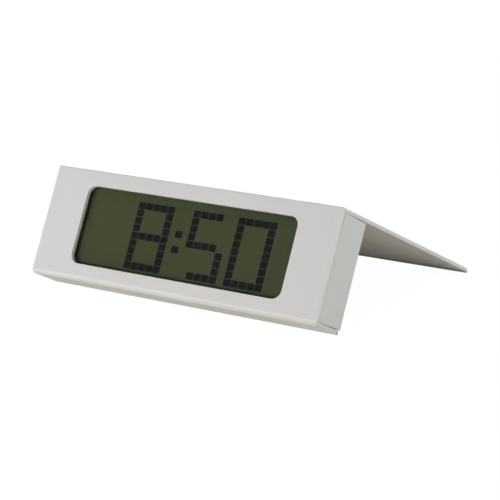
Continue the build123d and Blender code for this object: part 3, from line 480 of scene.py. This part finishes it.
sleeve_tree.links.new(bands.outputs["Color"], sleeve_shader.inputs["Base Color"])
vary_roughness(sleeve_tree, sleeve_shader, noise(sleeve_tree, SLEEVE_FLOW_MM), 0.25, 0.4)
print("finishes in all:", len(bpy.data.materials))


# %% Give each solid its finish
finishes = {
    shell_white: ("front_shell",),
    case_white: ("rear_case", "battery_door"),
    strip_grey: ("lip_strip",),
    strip_white: ("leg_foot",),
    gasket_foam_and_joint_shade: ("window_gasket",),
    lens_clear: ("display_lens",),
    film_front: ("front_polarizer",),
    glass_front: ("lcd_front_glass",),
    dots_dark: ("display_dots",),
    ground_olive: ("lcd_rear_glass",),
    film_rear: ("rear_polarizer",),
    guide_clear: ("light_guide",),
    reflector_white: ("reflector_film",),
    holder_black: ("lcd_holder",),
    led_resin: ("backlight_leds",),
    zebra_grey: ("upper_zebra", "lower_zebra"),
    board_green: ("main_board",),
    resin_black: ("chip_blob", "chip_resistors"),
    aluminium: ("crystal_can",),
    capacitor_film: ("capacitors",),
    switch_black: ("switch_cases", "slide_switch_lever"),
    can_steel: ("slide_switch_case", "battery_cells"),
    plunger_black: ("set_plunger", "down_plunger", "up_plunger", "snooze_plunger"),
    cap_grey: ("set_button", "down_button", "up_button", "snooze_button", "alarm_slider"),
    sleeve_blue: ("cell_sleeves",),
    nickel: ("contact_link", "contact_negative", "contact_positive"),
    wire_red: ("positive_wire",),
    wire_black: ("negative_wire",),
    wire_grey: ("buzzer_wires",),
    brass: ("buzzer_plate",),
    ceramic_white: ("buzzer_ceramic",),
    zinc: ("case_screws", "board_screws"),
}

finished = set()
for material, names in finishes.items():
    for name in names:
        for slot in nodes[name].material_slots:
            slot.material = material
        finished.add(name)
print("solids with a finish:", len(finished), "left:", sorted(set(nodes) - finished))


# %% [markdown]
# ## Measuring the solids in the leaning frame
#
# New pieces sit on the solids, so their places are read from the solids and not typed again. A
# solid's box in world axes is no help on a plate that leans, so its vertices are first turned
# into x, height and depth, and the lowest and highest of each are kept.

# %% Read a solid's extent
def leaning(points):
    """World points to x, height and depth: subtract the corner, then project on rise and into."""
    moved = points - CORNER
    return np.stack((moved[:, 0], moved @ RISE, moved @ INTO), axis=1)


def extent(name, keep=None):
    """Lowest and highest x, height and depth of a solid, or of its vertices that keep() picks."""
    mesh = nodes[name].data
    flat = np.empty(len(mesh.vertices) * 3)
    mesh.vertices.foreach_get("co", flat)
    points = leaning(flat.reshape(-1, 3))
    if keep is not None:
        points = points[keep(points)]
    return points.min(axis=0), points.max(axis=0)


def middle(name, keep=None):
    """Centre of a solid's extent."""
    low, high = extent(name, keep)
    return (low + high) / 2


print("set button from", extent("set_button")[0].round(4), "to", extent("set_button")[1].round(4))


# %% [markdown]
# ## Surfaces from two parameters
#
# Every small piece here is a grid of points: one parameter runs along the piece and one runs
# round it. A turned piece, such as a screw or a cell, closes at both ends in a pole. A bead laid
# along a closed path closes on itself both ways. One function turns either grid into a mesh, and
# turns the faces outwards by the sign of the volume that they enclose.

# %% Grid to mesh
def grid_faces(rows, columns, wrap_rows):
    """Quads of a grid whose columns wrap round, and whose rows do too if asked."""
    row = np.arange(rows if wrap_rows else rows - 1)[:, None]
    column = np.arange(columns)[None, :]
    below, above = row * columns, ((row + 1) % rows) * columns
    beside = (column + 1) % columns
    quads = np.stack((below + column, below + beside, above + beside, above + column), axis=-1)
    return quads.reshape(-1, 4)


def pole_faces(ring_start, columns, pole):
    """Triangles from a ring of points to a pole; the ring's order gives the side they face."""
    column = np.arange(columns)
    beside = (column + 1) % columns
    return np.stack((ring_start + beside, ring_start + column, np.full(columns, pole)), axis=-1)


def closed_surface(grid, ends="poles"):
    """Points and faces of a closed surface: ends meet in poles, or in each other if wrapped."""
    rows, columns = grid.shape[:2]
    points = grid.reshape(-1, 3)
    faces = [grid_faces(rows, columns, ends == "wrapped")]
    if ends == "poles":
        points = np.vstack((points, grid[0].mean(axis=0), grid[-1].mean(axis=0)))
        last_ring = (rows - 1) * columns
        faces.append(pole_faces(0, columns, rows * columns))
        faces.append(pole_faces(last_ring, columns, rows * columns + 1)[:, ::-1])
    return points, faces


def enclosed(points, faces):
    """Volume inside the faces: a sixth of the sum of each triangle's triple product."""
    total = 0.0
    for group in faces:
        for k in range(1, group.shape[1] - 1):
            first, second, third = points[group[:, 0]], points[group[:, k]], points[group[:, k + 1]]
            total += np.einsum("ij,ij->", first, np.cross(second, third)) / 6
    return total


def build(name, surfaces, material, body, instead_of=(), sharp_deg=35.0):
    """One piece from closed surfaces: faces outwards, smooth but for edges over the angle."""
    points, faces, start = [], [], 0
    for surface_points, surface_faces in surfaces:
        outward = enclosed(surface_points, surface_faces) > 0
        for group in surface_faces:
            faces.extend(((group if outward else group[:, ::-1]) + start).tolist())
        points.append(surface_points)
        start += len(surface_points)
    mesh = bpy.data.meshes.new(name)
    mesh.from_pydata(np.vstack(points).tolist(), [], faces)
    mesh.shade_smooth()
    mesh.set_sharp_from_angle(angle=radians(sharp_deg))
    mesh.materials.append(material)
    piece = bpy.data.objects.new(name, mesh)
    bpy.context.scene.collection.objects.link(piece)
    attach(piece, body)
    if instead_of:
        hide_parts(*instead_of)
    print(name, "faces:", len(faces))
    return piece


# %% Turned pieces
def turned(profile, centre, axis="depth", columns=48):
    """Surface of revolution: each profile row is (radius, distance along the axis)."""
    angle = np.linspace(0.0, 2 * np.pi, columns, endpoint=False)
    radius, along = (np.asarray(profile).T)[:, :, None]
    first, second = radius * np.cos(angle), radius * np.sin(angle)
    along = along + np.zeros_like(angle)
    x, height, depth = centre
    if axis == "depth":
        return place(x + first, height + second, depth + along)
    return place(x + along, height + first, depth + second)


def arc(centre, radius, start_deg, end_deg, count):
    """Points of a profile's round: centre + radius * (cos, sin) from one angle to another."""
    angle = np.radians(np.linspace(start_deg, end_deg, count))
    return np.stack((centre[0] + radius * np.cos(angle), centre[1] + radius * np.sin(angle)), 1)


print("a turned disc has", turned([(1 * MM, 0.0), (1 * MM, 1 * MM)], (0, 0, 0)).shape, "points")


# %% [markdown]
# ## Raised marks on the controls
#
# The rear controls carry plain raised marks: an arrow head each for up and down, a ring for set,
# a long slot on the snooze bar, and a bar and a ring beside the on-off slider. On a real moulding
# such a mark is a rounded bead cut into the steel. It is a half-sunk ellipse carried along a
# closed path, so the bead has no ends to cap.

# %% Rounded paths
def rounded_path(corners, radius, per_corner=10):
    """Closed path round a polygon, anticlockwise: an arc of the radius about each corner point.

    The direction angle turns from one edge's normal to the next at each corner, and the point is
    the corner plus radius times that direction. One corner gives a circle, two a slot.
    """
    corners = np.asarray(corners, dtype=float)
    if len(corners) == 1:
        angle = np.linspace(0.0, 2 * np.pi, 4 * per_corner, endpoint=False)
        owner = np.zeros(len(angle), dtype=int)
    else:
        edges = np.roll(corners, -1, axis=0) - corners
        normal = np.arctan2(-edges[:, 0], edges[:, 1])
        before = np.roll(normal, 1)
        turn = (normal - before) % (2 * np.pi)
        share = np.linspace(0.0, 1.0, per_corner)
        angle = (before[:, None] + turn[:, None] * share).ravel()
        owner = np.repeat(np.arange(len(corners)), per_corner)
    direction = np.stack((np.cos(angle), np.sin(angle)), axis=1)
    return corners[owner] + radius * direction, direction


def bead(path, centre, width=0.5 * MM, height=0.22 * MM, around=12):
    """Ellipse carried along a flat closed path, centred on the face: half of it stands proud."""
    points, direction = path
    angle = np.linspace(0.0, 2 * np.pi, around, endpoint=False)
    across = points[:, None, :] + direction[:, None, :] * (width / 2 * np.cos(angle))[None, :, None]
    x, face_height, depth = centre
    out = height * np.sin(angle)[None, :] + np.zeros((len(points), 1))
    return place(x + across[..., 0], face_height + across[..., 1], depth + out)


def triangle(size, up):
    """Corners of an equilateral triangle, anticlockwise, that points up or down."""
    start = np.pi / 2 if up else -np.pi / 2
    angle = start + np.arange(3) * 2 * np.pi / 3
    return size * np.stack((np.cos(angle), np.sin(angle)), axis=1)


# %% Marks on the caps
def face_centre(name):
    """Centre of a cap's outer face: the middle of its extent, at its greatest depth."""
    low, high = extent(name)
    return (low[0] + high[0]) / 2, (low[1] + high[1]) / 2, high[2]


MARK_RADIUS = 1.3 * MM
MARK_ROUND = 0.35 * MM
SNOOZE_HALF = 9.0 * MM

mark_paths = {
    "set_button": rounded_path([(0.0, 0.0)], MARK_RADIUS),
    "down_button": rounded_path(triangle(MARK_RADIUS, False), MARK_ROUND),
    "up_button": rounded_path(triangle(MARK_RADIUS, True), MARK_ROUND),
    "snooze_button": rounded_path([(-SNOOZE_HALF, 0.0), (SNOOZE_HALF, 0.0)], MARK_RADIUS),
}
for button, path in mark_paths.items():
    mark_name = button.replace("button", "mark")
    surface = closed_surface(bead(path, face_centre(button)), "wrapped")
    build(mark_name, [surface], cap_grey, button)

# %% Marks beside the slider and on the door
SLIDER_TRAVEL = 3.0 * MM
MARK_DROP = 4.4 * MM
DOOR_ARROW_DROP = 12.5 * MM

slider_middle = middle("alarm_slider")
case_rear = extent("rear_case")[1][2]
slider_face = (slider_middle[0], slider_middle[1] + MARK_DROP, case_rear)
ring = bead(rounded_path([(0.0, 0.0)], MARK_RADIUS / 2), slider_face)
bar_face = (slider_middle[0] + SLIDER_TRAVEL, slider_middle[1] + MARK_DROP, case_rear)
bar_ends = [(0.0, -MARK_RADIUS / 2), (0.0, MARK_RADIUS / 2)]
bar = bead(rounded_path(bar_ends, MARK_ROUND / 2), bar_face)
slider_marks = [closed_surface(ring, "wrapped"), closed_surface(bar, "wrapped")]
build("slider_marks", slider_marks, case_white, "case")

door_low, door_high = extent("battery_door")
door_face = ((door_low[0] + door_high[0]) / 2, door_high[1] - DOOR_ARROW_DROP, case_rear)
arrow = bead(rounded_path(triangle(2 * MARK_RADIUS, False), MARK_ROUND), door_face)
build("door_arrow", [closed_surface(arrow, "wrapped")], case_white, "battery_door")


# %% [markdown]
# ## Screws
#
# The screws are self-tapping, with a domed pan head, a cross recess and a coarse sharp thread
# down to a blunt point. One grid makes a whole screw. Its rows run from the tip up the shank,
# out under the head and in over the dome, and its columns run round. The thread is a ridge in
# the radius that climbs with the angle, and the recess is a dip in the dome.

# %% Cross recess
RECESS_SLOPE = 0.4


def slope_in(distance, size):
    """1 well inside a size and 0 at it: (size - |distance|) / (slope * size), kept in 0 to 1."""
    return np.clip((size - np.abs(distance)) / (RECESS_SLOPE * size), 0.0, 1.0)


def cross_dip(first, second, width, length):
    """1 inside a cross of two arms and 0 outside: the larger of both arms at each point."""
    arms = slope_in(first, length) * slope_in(second, width)
    return np.maximum(arms, slope_in(second, length) * slope_in(first, width))


print("recess at its centre:", cross_dip(0.0, 0.0, 1.0, 1.0))

# %% One screw as a grid
THREAD_PITCH, THREAD_RIDGE, POINT_LENGTH = 0.36, 0.15, 0.6  # shares of the shank's diameter
ROWS_PER_TURN = 8
RIDGE_SHARPNESS = 2.2
BLUNT_POINT = 0.25
HEAD_RIM, RIM_ROUND = 0.4, 0.1  # shares of the head's height and of the rim's
RECESS_WIDTH, RECESS_LENGTH, RECESS_DEPTH = 0.12, 0.34, 0.7  # shares of the head's size
DOME_ROWS = 24


def screw(centre, shank, length, head, head_height, columns=64):
    """Points of a pan-head screw, seated at the centre's depth, its shank towards the front.

    Thread: radius = core + ridge * peak, where peak falls in a straight line from 1 at the helix
    to 0 beside it, and the helix is where along / pitch - angle / turn is a whole number.
    Dome: radius and rise follow a quarter ellipse, less the cross-shaped dip.
    """
    angle = np.linspace(0.0, 2 * np.pi, columns, endpoint=False)[None, :]
    pitch, ridge, point = (part * shank for part in (THREAD_PITCH, THREAD_RIDGE, POINT_LENGTH))
    along = np.linspace(-length, -pitch / 2, round(ROWS_PER_TURN * length / pitch))[:, None]
    off_helix = np.abs((along / pitch - angle / (2 * np.pi)) % 1.0 - 0.5) * 2
    peak = np.clip(1.0 - RIDGE_SHARPNESS * off_helix, 0.0, 1.0)
    taper = np.clip((along + length) / point, BLUNT_POINT, 1.0)
    thread = taper * (shank / 2 - ridge + ridge * peak)

    rim = HEAD_RIM * head_height
    cut = RIM_ROUND * rim
    quarter = np.linspace(0.0, np.pi / 2, DOME_ROWS)
    dome = np.stack((np.cos(quarter) * head / 2, rim + (head_height - rim) * np.sin(quarter)), 1)
    under = [(shank / 2 - ridge, 0.0), (head / 2 - cut, 0.0), (head / 2, cut)]
    profile = np.vstack((under, dome))
    radius = profile[:, :1] + np.zeros_like(angle)
    rise = profile[:, 1:] + np.zeros_like(angle)
    arm_sizes = RECESS_WIDTH * head, RECESS_LENGTH * head
    dip = cross_dip(radius * np.cos(angle), radius * np.sin(angle), *arm_sizes)
    rise = rise - RECESS_DEPTH * (head_height - rim / 2) * dip * (rise > rim)

    radius = np.vstack((thread, radius))
    depth = np.vstack((along + np.zeros_like(angle), rise))
    x, height, seat = centre
    return place(x + radius * np.cos(angle), height + radius * np.sin(angle), seat + depth)


# %% Case screws and board screws
CASE_SCREW = {"shank": 2.6 * MM, "length": 9.0 * MM, "head": 4.8 * MM, "head_height": 1.6 * MM}
BOARD_SCREW = {"shank": 2.0 * MM, "length": 5.0 * MM, "head": 3.8 * MM, "head_height": 1.2 * MM}


def screw_seats(name, sizes, sides):
    """Centres of a node's screws, two on each side, from its extent less half a head."""
    half, seats = sizes["head"] / 2, []
    for side in sides:
        low, high = extent(name, lambda points, side=side: side * points[:, 0] > 0)
        x = (low[0] + high[0]) / 2
        for height in (low[1] + half, high[1] - half):
            seats.append((x, height, high[2] - sizes["head_height"]))
    return seats


for screws, sizes in (("case_screws", CASE_SCREW), ("board_screws", BOARD_SCREW)):
    cut = [closed_surface(screw(seat, **sizes)) for seat in screw_seats(screws, sizes, (-1, 1))]
    build(f"threaded_{screws}", cut, zinc, "case", [screws])


# %% [markdown]
# ## Battery cells and capacitors
#
# A dry cell is a drawn steel can: a raised button at one end, a rounded shoulder, and a flat
# end with a shallow step. A small capacitor is an aluminium can in a shrunk sleeve, with a
# rolled crimp near its foot. All of them are turned shapes, so each is one profile of radius
# against length, and its rounds are arcs.

# %% Cells
NUB_RADIUS = 1.9 * MM
NUB_LENGTH = 1.0 * MM
NUB_ROUND = 0.5 * MM
SHOULDER = 0.8 * MM
END_ROUND = 0.6 * MM
END_STEP = 0.15 * MM
STEP_OUTER, STEP_INNER, END_POLE = 0.72, 0.68, 0.1  # shares of the cell's radius


def cell_profile(radius, length):
    """Button, shoulder, side and stepped flat end, from the button's tip to the flat end."""
    return np.vstack(
        (
            arc((NUB_RADIUS - NUB_ROUND, NUB_ROUND), NUB_ROUND, -90, 0, 8),
            [(NUB_RADIUS, NUB_LENGTH)],
            arc((radius - SHOULDER, NUB_LENGTH + SHOULDER), SHOULDER, -90, 0, 10),
            arc((radius - END_ROUND, length - END_ROUND), END_ROUND, 0, 90, 8),
            [(STEP_OUTER * radius, length)],
            [(step * radius, length - END_STEP) for step in (STEP_INNER, END_POLE)],
        )
    )


cell_centre = middle("battery_cells")
cells = []
for side in (1, -1):
    low, high = extent("battery_cells", lambda points: side * (points[:, 1] - cell_centre[1]) > 0)
    profile = cell_profile((high[2] - low[2]) / 2, high[0] - low[0]) * (1, side)
    button_end = low[0] if side > 0 else high[0]
    centre = (button_end, (low[1] + high[1]) / 2, (low[2] + high[2]) / 2)
    cells.append(closed_surface(turned(profile, centre, axis="x", columns=64)))
build("turned_cells", cells, can_steel, "case", ["battery_cells"])

# %% Capacitors
CRIMP_HEIGHT = 1.3 * MM
CRIMP_RADIUS = 0.35 * MM
CAN_ROUND = 0.4 * MM
SLEEVE_LIP = 0.6 * MM

can_low, can_high = extent("capacitors")
can_radius = (can_high[0] - can_low[0]) / 2
can_height = can_high[2] - can_low[2]
can_profile = np.vstack(
    (
        arc((can_radius - CAN_ROUND, CAN_ROUND), CAN_ROUND, -90, 0, 6),
        arc((can_radius + CRIMP_RADIUS / 2, CRIMP_HEIGHT), CRIMP_RADIUS, -120, -240, 10),
        arc((can_radius - CAN_ROUND, can_height - CAN_ROUND), CAN_ROUND, 0, 90, 6),
        [(can_radius - SLEEVE_LIP, can_height), (can_radius - SLEEVE_LIP, can_height - END_STEP)],
    )
)
top_radius = can_radius - SLEEVE_LIP
top_profile = [(top_radius, can_height - 2 * END_STEP), (top_radius, can_height - END_STEP / 2)]
sleeves, tops = [], []
for height in (can_low[1] + can_radius, can_high[1] - can_radius):
    foot = ((can_low[0] + can_high[0]) / 2, height, can_low[2])
    sleeves.append(closed_surface(turned(can_profile, foot)))
    tops.append(closed_surface(turned(top_profile, foot)))
build("capacitor_sleeves", sleeves, capacitor_film, "case", ["capacitors"])
build("capacitor_tops", tops, aluminium, "case")


# %% [markdown]
# ## Solder, switch covers and leads
#
# Molten solder climbs a wire and sets in a hollow cone, which is a turned profile whose radius
# falls with the square of the height. Each push switch has a steel cover, a rounded square with
# a round hole, and four legs that fall to the board in a smooth step. The crystal's two leads
# fall in the same step with a round section.

# %% Solder joints
JOINT_FOOT = 1.1 * MM
JOINT_NECK = 0.55 * MM
JOINT_HEIGHT = 1.1 * MM
WIRE_RADIUS = 0.5 * MM

board_rear = extent("main_board")[1][2]
climb = np.linspace(0.0, 1.0, 8)
joint_radius = JOINT_NECK + (JOINT_FOOT - JOINT_NECK) * (1 - climb) ** 2
joint_profile = np.stack((joint_radius, JOINT_HEIGHT * climb), axis=1)

pads = []
for wire in ("positive_wire", "negative_wire"):
    pads.append((extent(wire)[1][0] - WIRE_RADIUS, middle(wire)[1], board_rear))
buzz_low, buzz_high = extent("buzzer_wires")
for height in (buzz_low[1] + WIRE_RADIUS, buzz_high[1] - WIRE_RADIUS):
    pads.append((buzz_low[0] + WIRE_RADIUS, height, board_rear))
joints = [closed_surface(turned(joint_profile, pad, columns=32)) for pad in pads]
build("solder_joints", joints, solder, "case")

# %% Switch covers
COVER_HALF = 2.9 * MM
COVER_HOLE = 1.95 * MM
COVER_THICKNESS = 0.2 * MM
COVER_SQUARENESS = 8.0


def cover(centre, columns=96):
    """Plate between a circle and a rounded square, |cos|^n + |sin|^n = (half / radius)^n."""
    angle = np.linspace(0.0, 2 * np.pi, columns, endpoint=False)
    power = np.abs(np.cos(angle)) ** COVER_SQUARENESS + np.abs(np.sin(angle)) ** COVER_SQUARENESS
    outer = COVER_HALF * power ** (-1 / COVER_SQUARENESS)
    inner = np.full(columns, COVER_HOLE)
    radius = np.stack((inner, outer, outer, inner))
    rise = COVER_THICKNESS * np.array((0.0, 0.0, 1.0, 1.0))[:, None] + np.zeros(columns)
    x, height, depth = centre
    return place(x + radius * np.cos(angle), height + radius * np.sin(angle), depth + rise)


switch_rear = extent("switch_cases")[1][2]
buttons = ("set_button", "down_button", "up_button", "snooze_button")
switch_spots = [face_centre(button)[:2] for button in buttons]
covers = [closed_surface(cover((x, height, switch_rear)), "wrapped") for x, height in switch_spots]
build("switch_covers", covers, can_steel, "case")


# %% Legs and leads
def stepped_lead(start, reach, drop, section):
    """Lead that runs along x and falls to the board by a smooth step, t * t * (3 - 2 * t).

    The section, in height and depth, is carried along it unturned, since the lead is short.
    """
    share = np.linspace(0.0, 1.0, 12)
    fall = share * share * (3 - 2 * share)
    x, height, depth = start
    along = x + reach * share[:, None] + np.zeros(len(section))
    across = height + section[None, :, 0] + np.zeros((len(share), 1))
    deep = depth - drop * fall[:, None] + section[None, :, 1]
    return place(along, across, deep)


LEG_WIDTH = 0.7 * MM
LEG_THICKNESS = 0.2 * MM
LEG_REACH = 1.3 * MM
LEG_SPREAD = 2.25 * MM
LEG_RISE = 1.2 * MM
SWITCH_HALF = 3.0 * MM
LEAD_RADIUS = 0.18 * MM
LEAD_SPREAD = 0.5 * MM
LEAD_REACH = 1.6 * MM

corners = np.array(((-1, -1), (1, -1), (1, 1), (-1, 1))) / 2
flat_section = corners * (LEG_WIDTH, LEG_THICKNESS)
legs = []
for x, height in switch_spots:
    for side in (-1, 1):
        for spread in (-LEG_SPREAD, LEG_SPREAD):
            start = (x + side * SWITCH_HALF, height + spread, board_rear + LEG_RISE)
            drop = LEG_RISE - LEG_THICKNESS / 2
            legs.append(closed_surface(stepped_lead(start, side * LEG_REACH, drop, flat_section)))
build("switch_legs", legs, can_steel, "case")

angle = np.linspace(0.0, 2 * np.pi, 12, endpoint=False)
round_section = LEAD_RADIUS * np.stack((np.cos(angle), np.sin(angle)), axis=1)
quartz_low, quartz_high = extent("crystal_can")
quartz_middle = (quartz_low + quartz_high) / 2
leads = []
for spread in (-LEAD_SPREAD, LEAD_SPREAD):
    start = (quartz_low[0], quartz_middle[1] + spread, quartz_middle[2])
    drop = quartz_middle[2] - board_rear - LEAD_RADIUS
    leads.append(closed_surface(stepped_lead(start, -LEAD_REACH, drop, round_section)))
build("crystal_leads", leads, solder, "case")


# %% [markdown]
# ## Painted shade in the end joints
#
# The joint between each end panel and the front plate is widest at the ridge and closes over
# 17 mm. A dark wedge fills it, almost flush: painted shade that stands in for the shadow inside
# the open gap, and shows as the fine dark line that fades downwards. The wedge is a four-sided
# outline carried straight along x.

# %% Painted shade wedges
JOINT_TOP_GAP = 0.3 * MM
JOINT_LOW_GAP = 0.08 * MM
JOINT_TAPER = 17.0 * MM
SHADE_PLAY = 0.01 * MM
SHADE_INSET = 0.03 * MM
SHADE_LENGTH = 1.6 * MM

panel_low, panel_high = extent("rear_case")
plate_back = panel_low[2] - JOINT_LOW_GAP
joint_top, joint_low = panel_high[1], panel_high[1] - JOINT_TAPER
wedge = np.array(
    (
        (joint_low, plate_back + SHADE_PLAY),
        (joint_low, plate_back + JOINT_LOW_GAP - SHADE_PLAY),
        (joint_top, plate_back + JOINT_TOP_GAP - SHADE_PLAY),
        (joint_top, plate_back + SHADE_PLAY),
    )
)
wedges = []
for side in (-1, 1):
    reach = side * (WIDTH / 2 - SHADE_INSET - np.array((0.0, SHADE_LENGTH)))[:, None]
    both_ends = np.zeros_like(reach)
    height, depth = wedge[:, 0] + both_ends, wedge[:, 1] + both_ends
    wedges.append(closed_surface(place(reach + np.zeros(len(wedge)), height, depth)))
# dark wedges of painted shade, standing in for the shadow inside the open joints
build("joint_shade_wedges", wedges, gasket_foam_and_joint_shade, "case")


# %% [markdown]
# ## Dots of the display and ends of the resistors
#
# A liquid crystal dot has no thickness that the eye can see, so each dot is drawn again as a thin
# rounded square on the rear glass. A thick dot would shade the narrow gaps, which the picture
# shows as fine light lines. The dots are moved a little to the left and up, to where the picture
# shows them. A chip resistor has a tinned cap over each end. Both are slabs: an outline carried
# straight through a depth, placed by the boxes of the solids.

# %% Slabs
BOX_VERTICES = 24


def boxes_of(name):
    """Lowest and highest corners of each box in a solid made of boxes, 24 vertices to a box."""
    mesh = nodes[name].data
    flat = np.empty(len(mesh.vertices) * 3)
    mesh.vertices.foreach_get("co", flat)
    groups = leaning(flat.reshape(-1, 3)).reshape(-1, BOX_VERTICES, 3)
    return groups.min(axis=1), groups.max(axis=1)


def slab(low, high, corner_radius):
    """Closed slab between two corners, its outline rounded in the plane of the plate."""
    half = (high - low)[:2] / 2 - corner_radius
    corners = half * ((-1, -1), (1, -1), (1, 1), (-1, 1))
    outline, _ = rounded_path(corners, corner_radius, per_corner=5)
    x, height = (low + high)[:2] / 2
    depth = np.array((low[2], high[2]))[:, None] + np.zeros(len(outline))
    both_ends = np.zeros_like(depth)
    across, up = x + outline[:, 0] + both_ends, height + outline[:, 1] + both_ends
    return closed_surface(place(across, up, depth))


# %% Thin dots
DOT_THICKNESS = 0.02 * MM
DOT_ROUND = 0.3 * MM
DOT_SHIFT = np.array((-0.44, 0.18, 0.0)) * MM

dots = []
for low, high in zip(*boxes_of("display_dots")):
    low[2] = high[2] - DOT_THICKNESS
    dots.append(slab(low + DOT_SHIFT, high + DOT_SHIFT, DOT_ROUND))
build("thin_dots", dots, dots_dark, "case", ["display_dots"])

# %% Resistor ends
CAP_LENGTH = 0.45 * MM
CAP_SKIN = np.array((0.03, 0.03, 0.03)) * MM
CAP_ROUND = 0.08 * MM

caps = []
for low, high in zip(*boxes_of("chip_resistors")):
    long_axis = int(np.argmax((high - low)[:2]))
    for at_high in (False, True):
        cap_low, cap_high = low - CAP_SKIN, high + CAP_SKIN
        cap_low[2] = low[2]
        if at_high:
            cap_low[long_axis] = high[long_axis] - CAP_LENGTH
        else:
            cap_high[long_axis] = low[long_axis] + CAP_LENGTH
        caps.append(slab(cap_low, cap_high, CAP_ROUND))
build("resistor_ends", caps, solder, "case")


# %% [markdown]
# ## Floor, backdrop and light
#
# The picture has a pure white ground. The floor is a pale, slightly warm sheet. The camera, and
# light that passes a clear sheet, see it nearly white, with a faint trace of the clock's shadow.
# A gloss shows a share of that white, so that the plastic's undersides aren't lost in the dark.
# The surroundings are white in the same way, and light the clock only weakly. Soft boxes close to
# the table do the rest: one in front, which puts the light line on the bend, one at the left,
# which makes that end of the plate a little lighter, and two at the right for the end panel and
# the leg's underside. A box behind lights the back, which the picture doesn't show.

# %% Rays that show the background
def larger(tree, first, second):
    """The larger of two values."""
    made = add_node(tree, "ShaderNodeMath", {0: first, 1: second}, operation="MAXIMUM")
    return made.outputs["Value"]


def background_rays(tree, gloss=1.0):
    """1 for a ray from the camera or through a sheet, the gloss share for one off a gloss."""
    path = add_node(tree, "ShaderNodeLightPath").outputs
    direct = larger(tree, path["Is Camera Ray"], path["Is Transmission Ray"])
    off_gloss = {0: path["Is Glossy Ray"], 1: gloss}
    dimmed = add_node(tree, "ShaderNodeMath", off_gloss, operation="MULTIPLY").outputs["Value"]
    return larger(tree, direct, dimmed)


print("floor and surroundings share one test for such rays")

# %% Floor
FLOOR_HALF = 3.0
FLOOR_DROP = 0.02 * MM
FLOOR_SHARE = 0.93  # share of plain white; the rest shows the lit sheet and the shadow on it
FLOOR_LEVEL = 1.05
FLOOR_GLOSS = 0.2
CLOUDS_MM = 60.0

corners = FLOOR_HALF * np.array(((-1, -1), (1, -1), (1, 1), (-1, 1)))
floor_mesh = bpy.data.meshes.new("floor")
floor_mesh.from_pydata([(x, y, -FLOOR_DROP) for x, y in corners], [], [(0, 1, 2, 3)])
floor = bpy.data.objects.new("floor", floor_mesh)
bpy.context.scene.collection.objects.link(floor)

paper, paper_tree, paper_shader = new_finish("white_paper_floor", Roughness=0.9)
vary_colour(paper_tree, paper_shader, noise(paper_tree, CLOUDS_MM), "#F9F3E0", "#FBF6E5")
plain_share = {0: background_rays(paper_tree, FLOOR_GLOSS), 1: FLOOR_SHARE}
seen = add_node(paper_tree, "ShaderNodeMath", plain_share, operation="MULTIPLY").outputs["Value"]
plain_white = {"Color": (1, 1, 1, 1), "Strength": FLOOR_LEVEL}
white_seen = add_node(paper_tree, "ShaderNodeEmission", plain_white).outputs["Emission"]
parts = {0: seen, 1: paper_shader.outputs["BSDF"], 2: white_seen}
paper_mix = add_node(paper_tree, "ShaderNodeMixShader", parts).outputs["Shader"]
paper_tree.links.new(paper_mix, paper_tree.nodes["Material Output"].inputs["Surface"])
floor_mesh.materials.append(paper)
print("floor laid")

# %% Surroundings
WORLD_LEVEL = 0.15

world = bpy.data.worlds.new("white_surroundings")
bpy.context.scene.world = world
world.use_nodes = True
world_tree = world.node_tree
level = add_node(
    world_tree,
    "ShaderNodeMapRange",
    {"Value": background_rays(world_tree), "To Min": WORLD_LEVEL, "To Max": 1.0},
)
background = world_tree.nodes["Background"]
background.inputs["Color"].default_value = (1, 1, 1, 1)
world_tree.links.new(level.outputs["Result"], background.inputs["Strength"])
print("surroundings lit")


# %% Lamps
def add_lamp(name, place_m, size_m, watts):
    """Soft box of a width and height at a place, turned so that it points at the display."""
    data = bpy.data.lights.new(name, "AREA")
    data.energy = watts
    data.shape = "RECTANGLE"
    data.size, data.size_y = size_m
    lamp = bpy.data.objects.new(name, data)
    bpy.context.scene.collection.objects.link(lamp)
    lamp.location = place_m
    away = Vector(place_m) - Vector(place(0.0, FRONT_HEIGHT / 2, 0.0).tolist())
    lamp.rotation_euler = away.to_track_quat("Z", "Y").to_euler()
    return lamp


LAMPS = {
    "front_strip": ((-0.1, -0.8, 0.07), (0.5, 0.12), 2.12),
    "left_strip": ((-0.38, -0.55, 0.07), (0.2, 0.12), 0.6),
    "right_box": ((1.1, 0.0, 0.1), (0.4, 0.16), 2.15),
    "right_high_box": ((0.8, 0.1, 0.8), (0.6, 0.6), 1.8),
    "back_box": ((-0.3, 1.2, 0.7), (0.6, 0.6), 6.0),
}
for lamp_name, (lamp_place, lamp_size, lamp_watts) in LAMPS.items():
    add_lamp(lamp_name, lamp_place, lamp_size, lamp_watts)
print("lamps placed:", len(LAMPS))
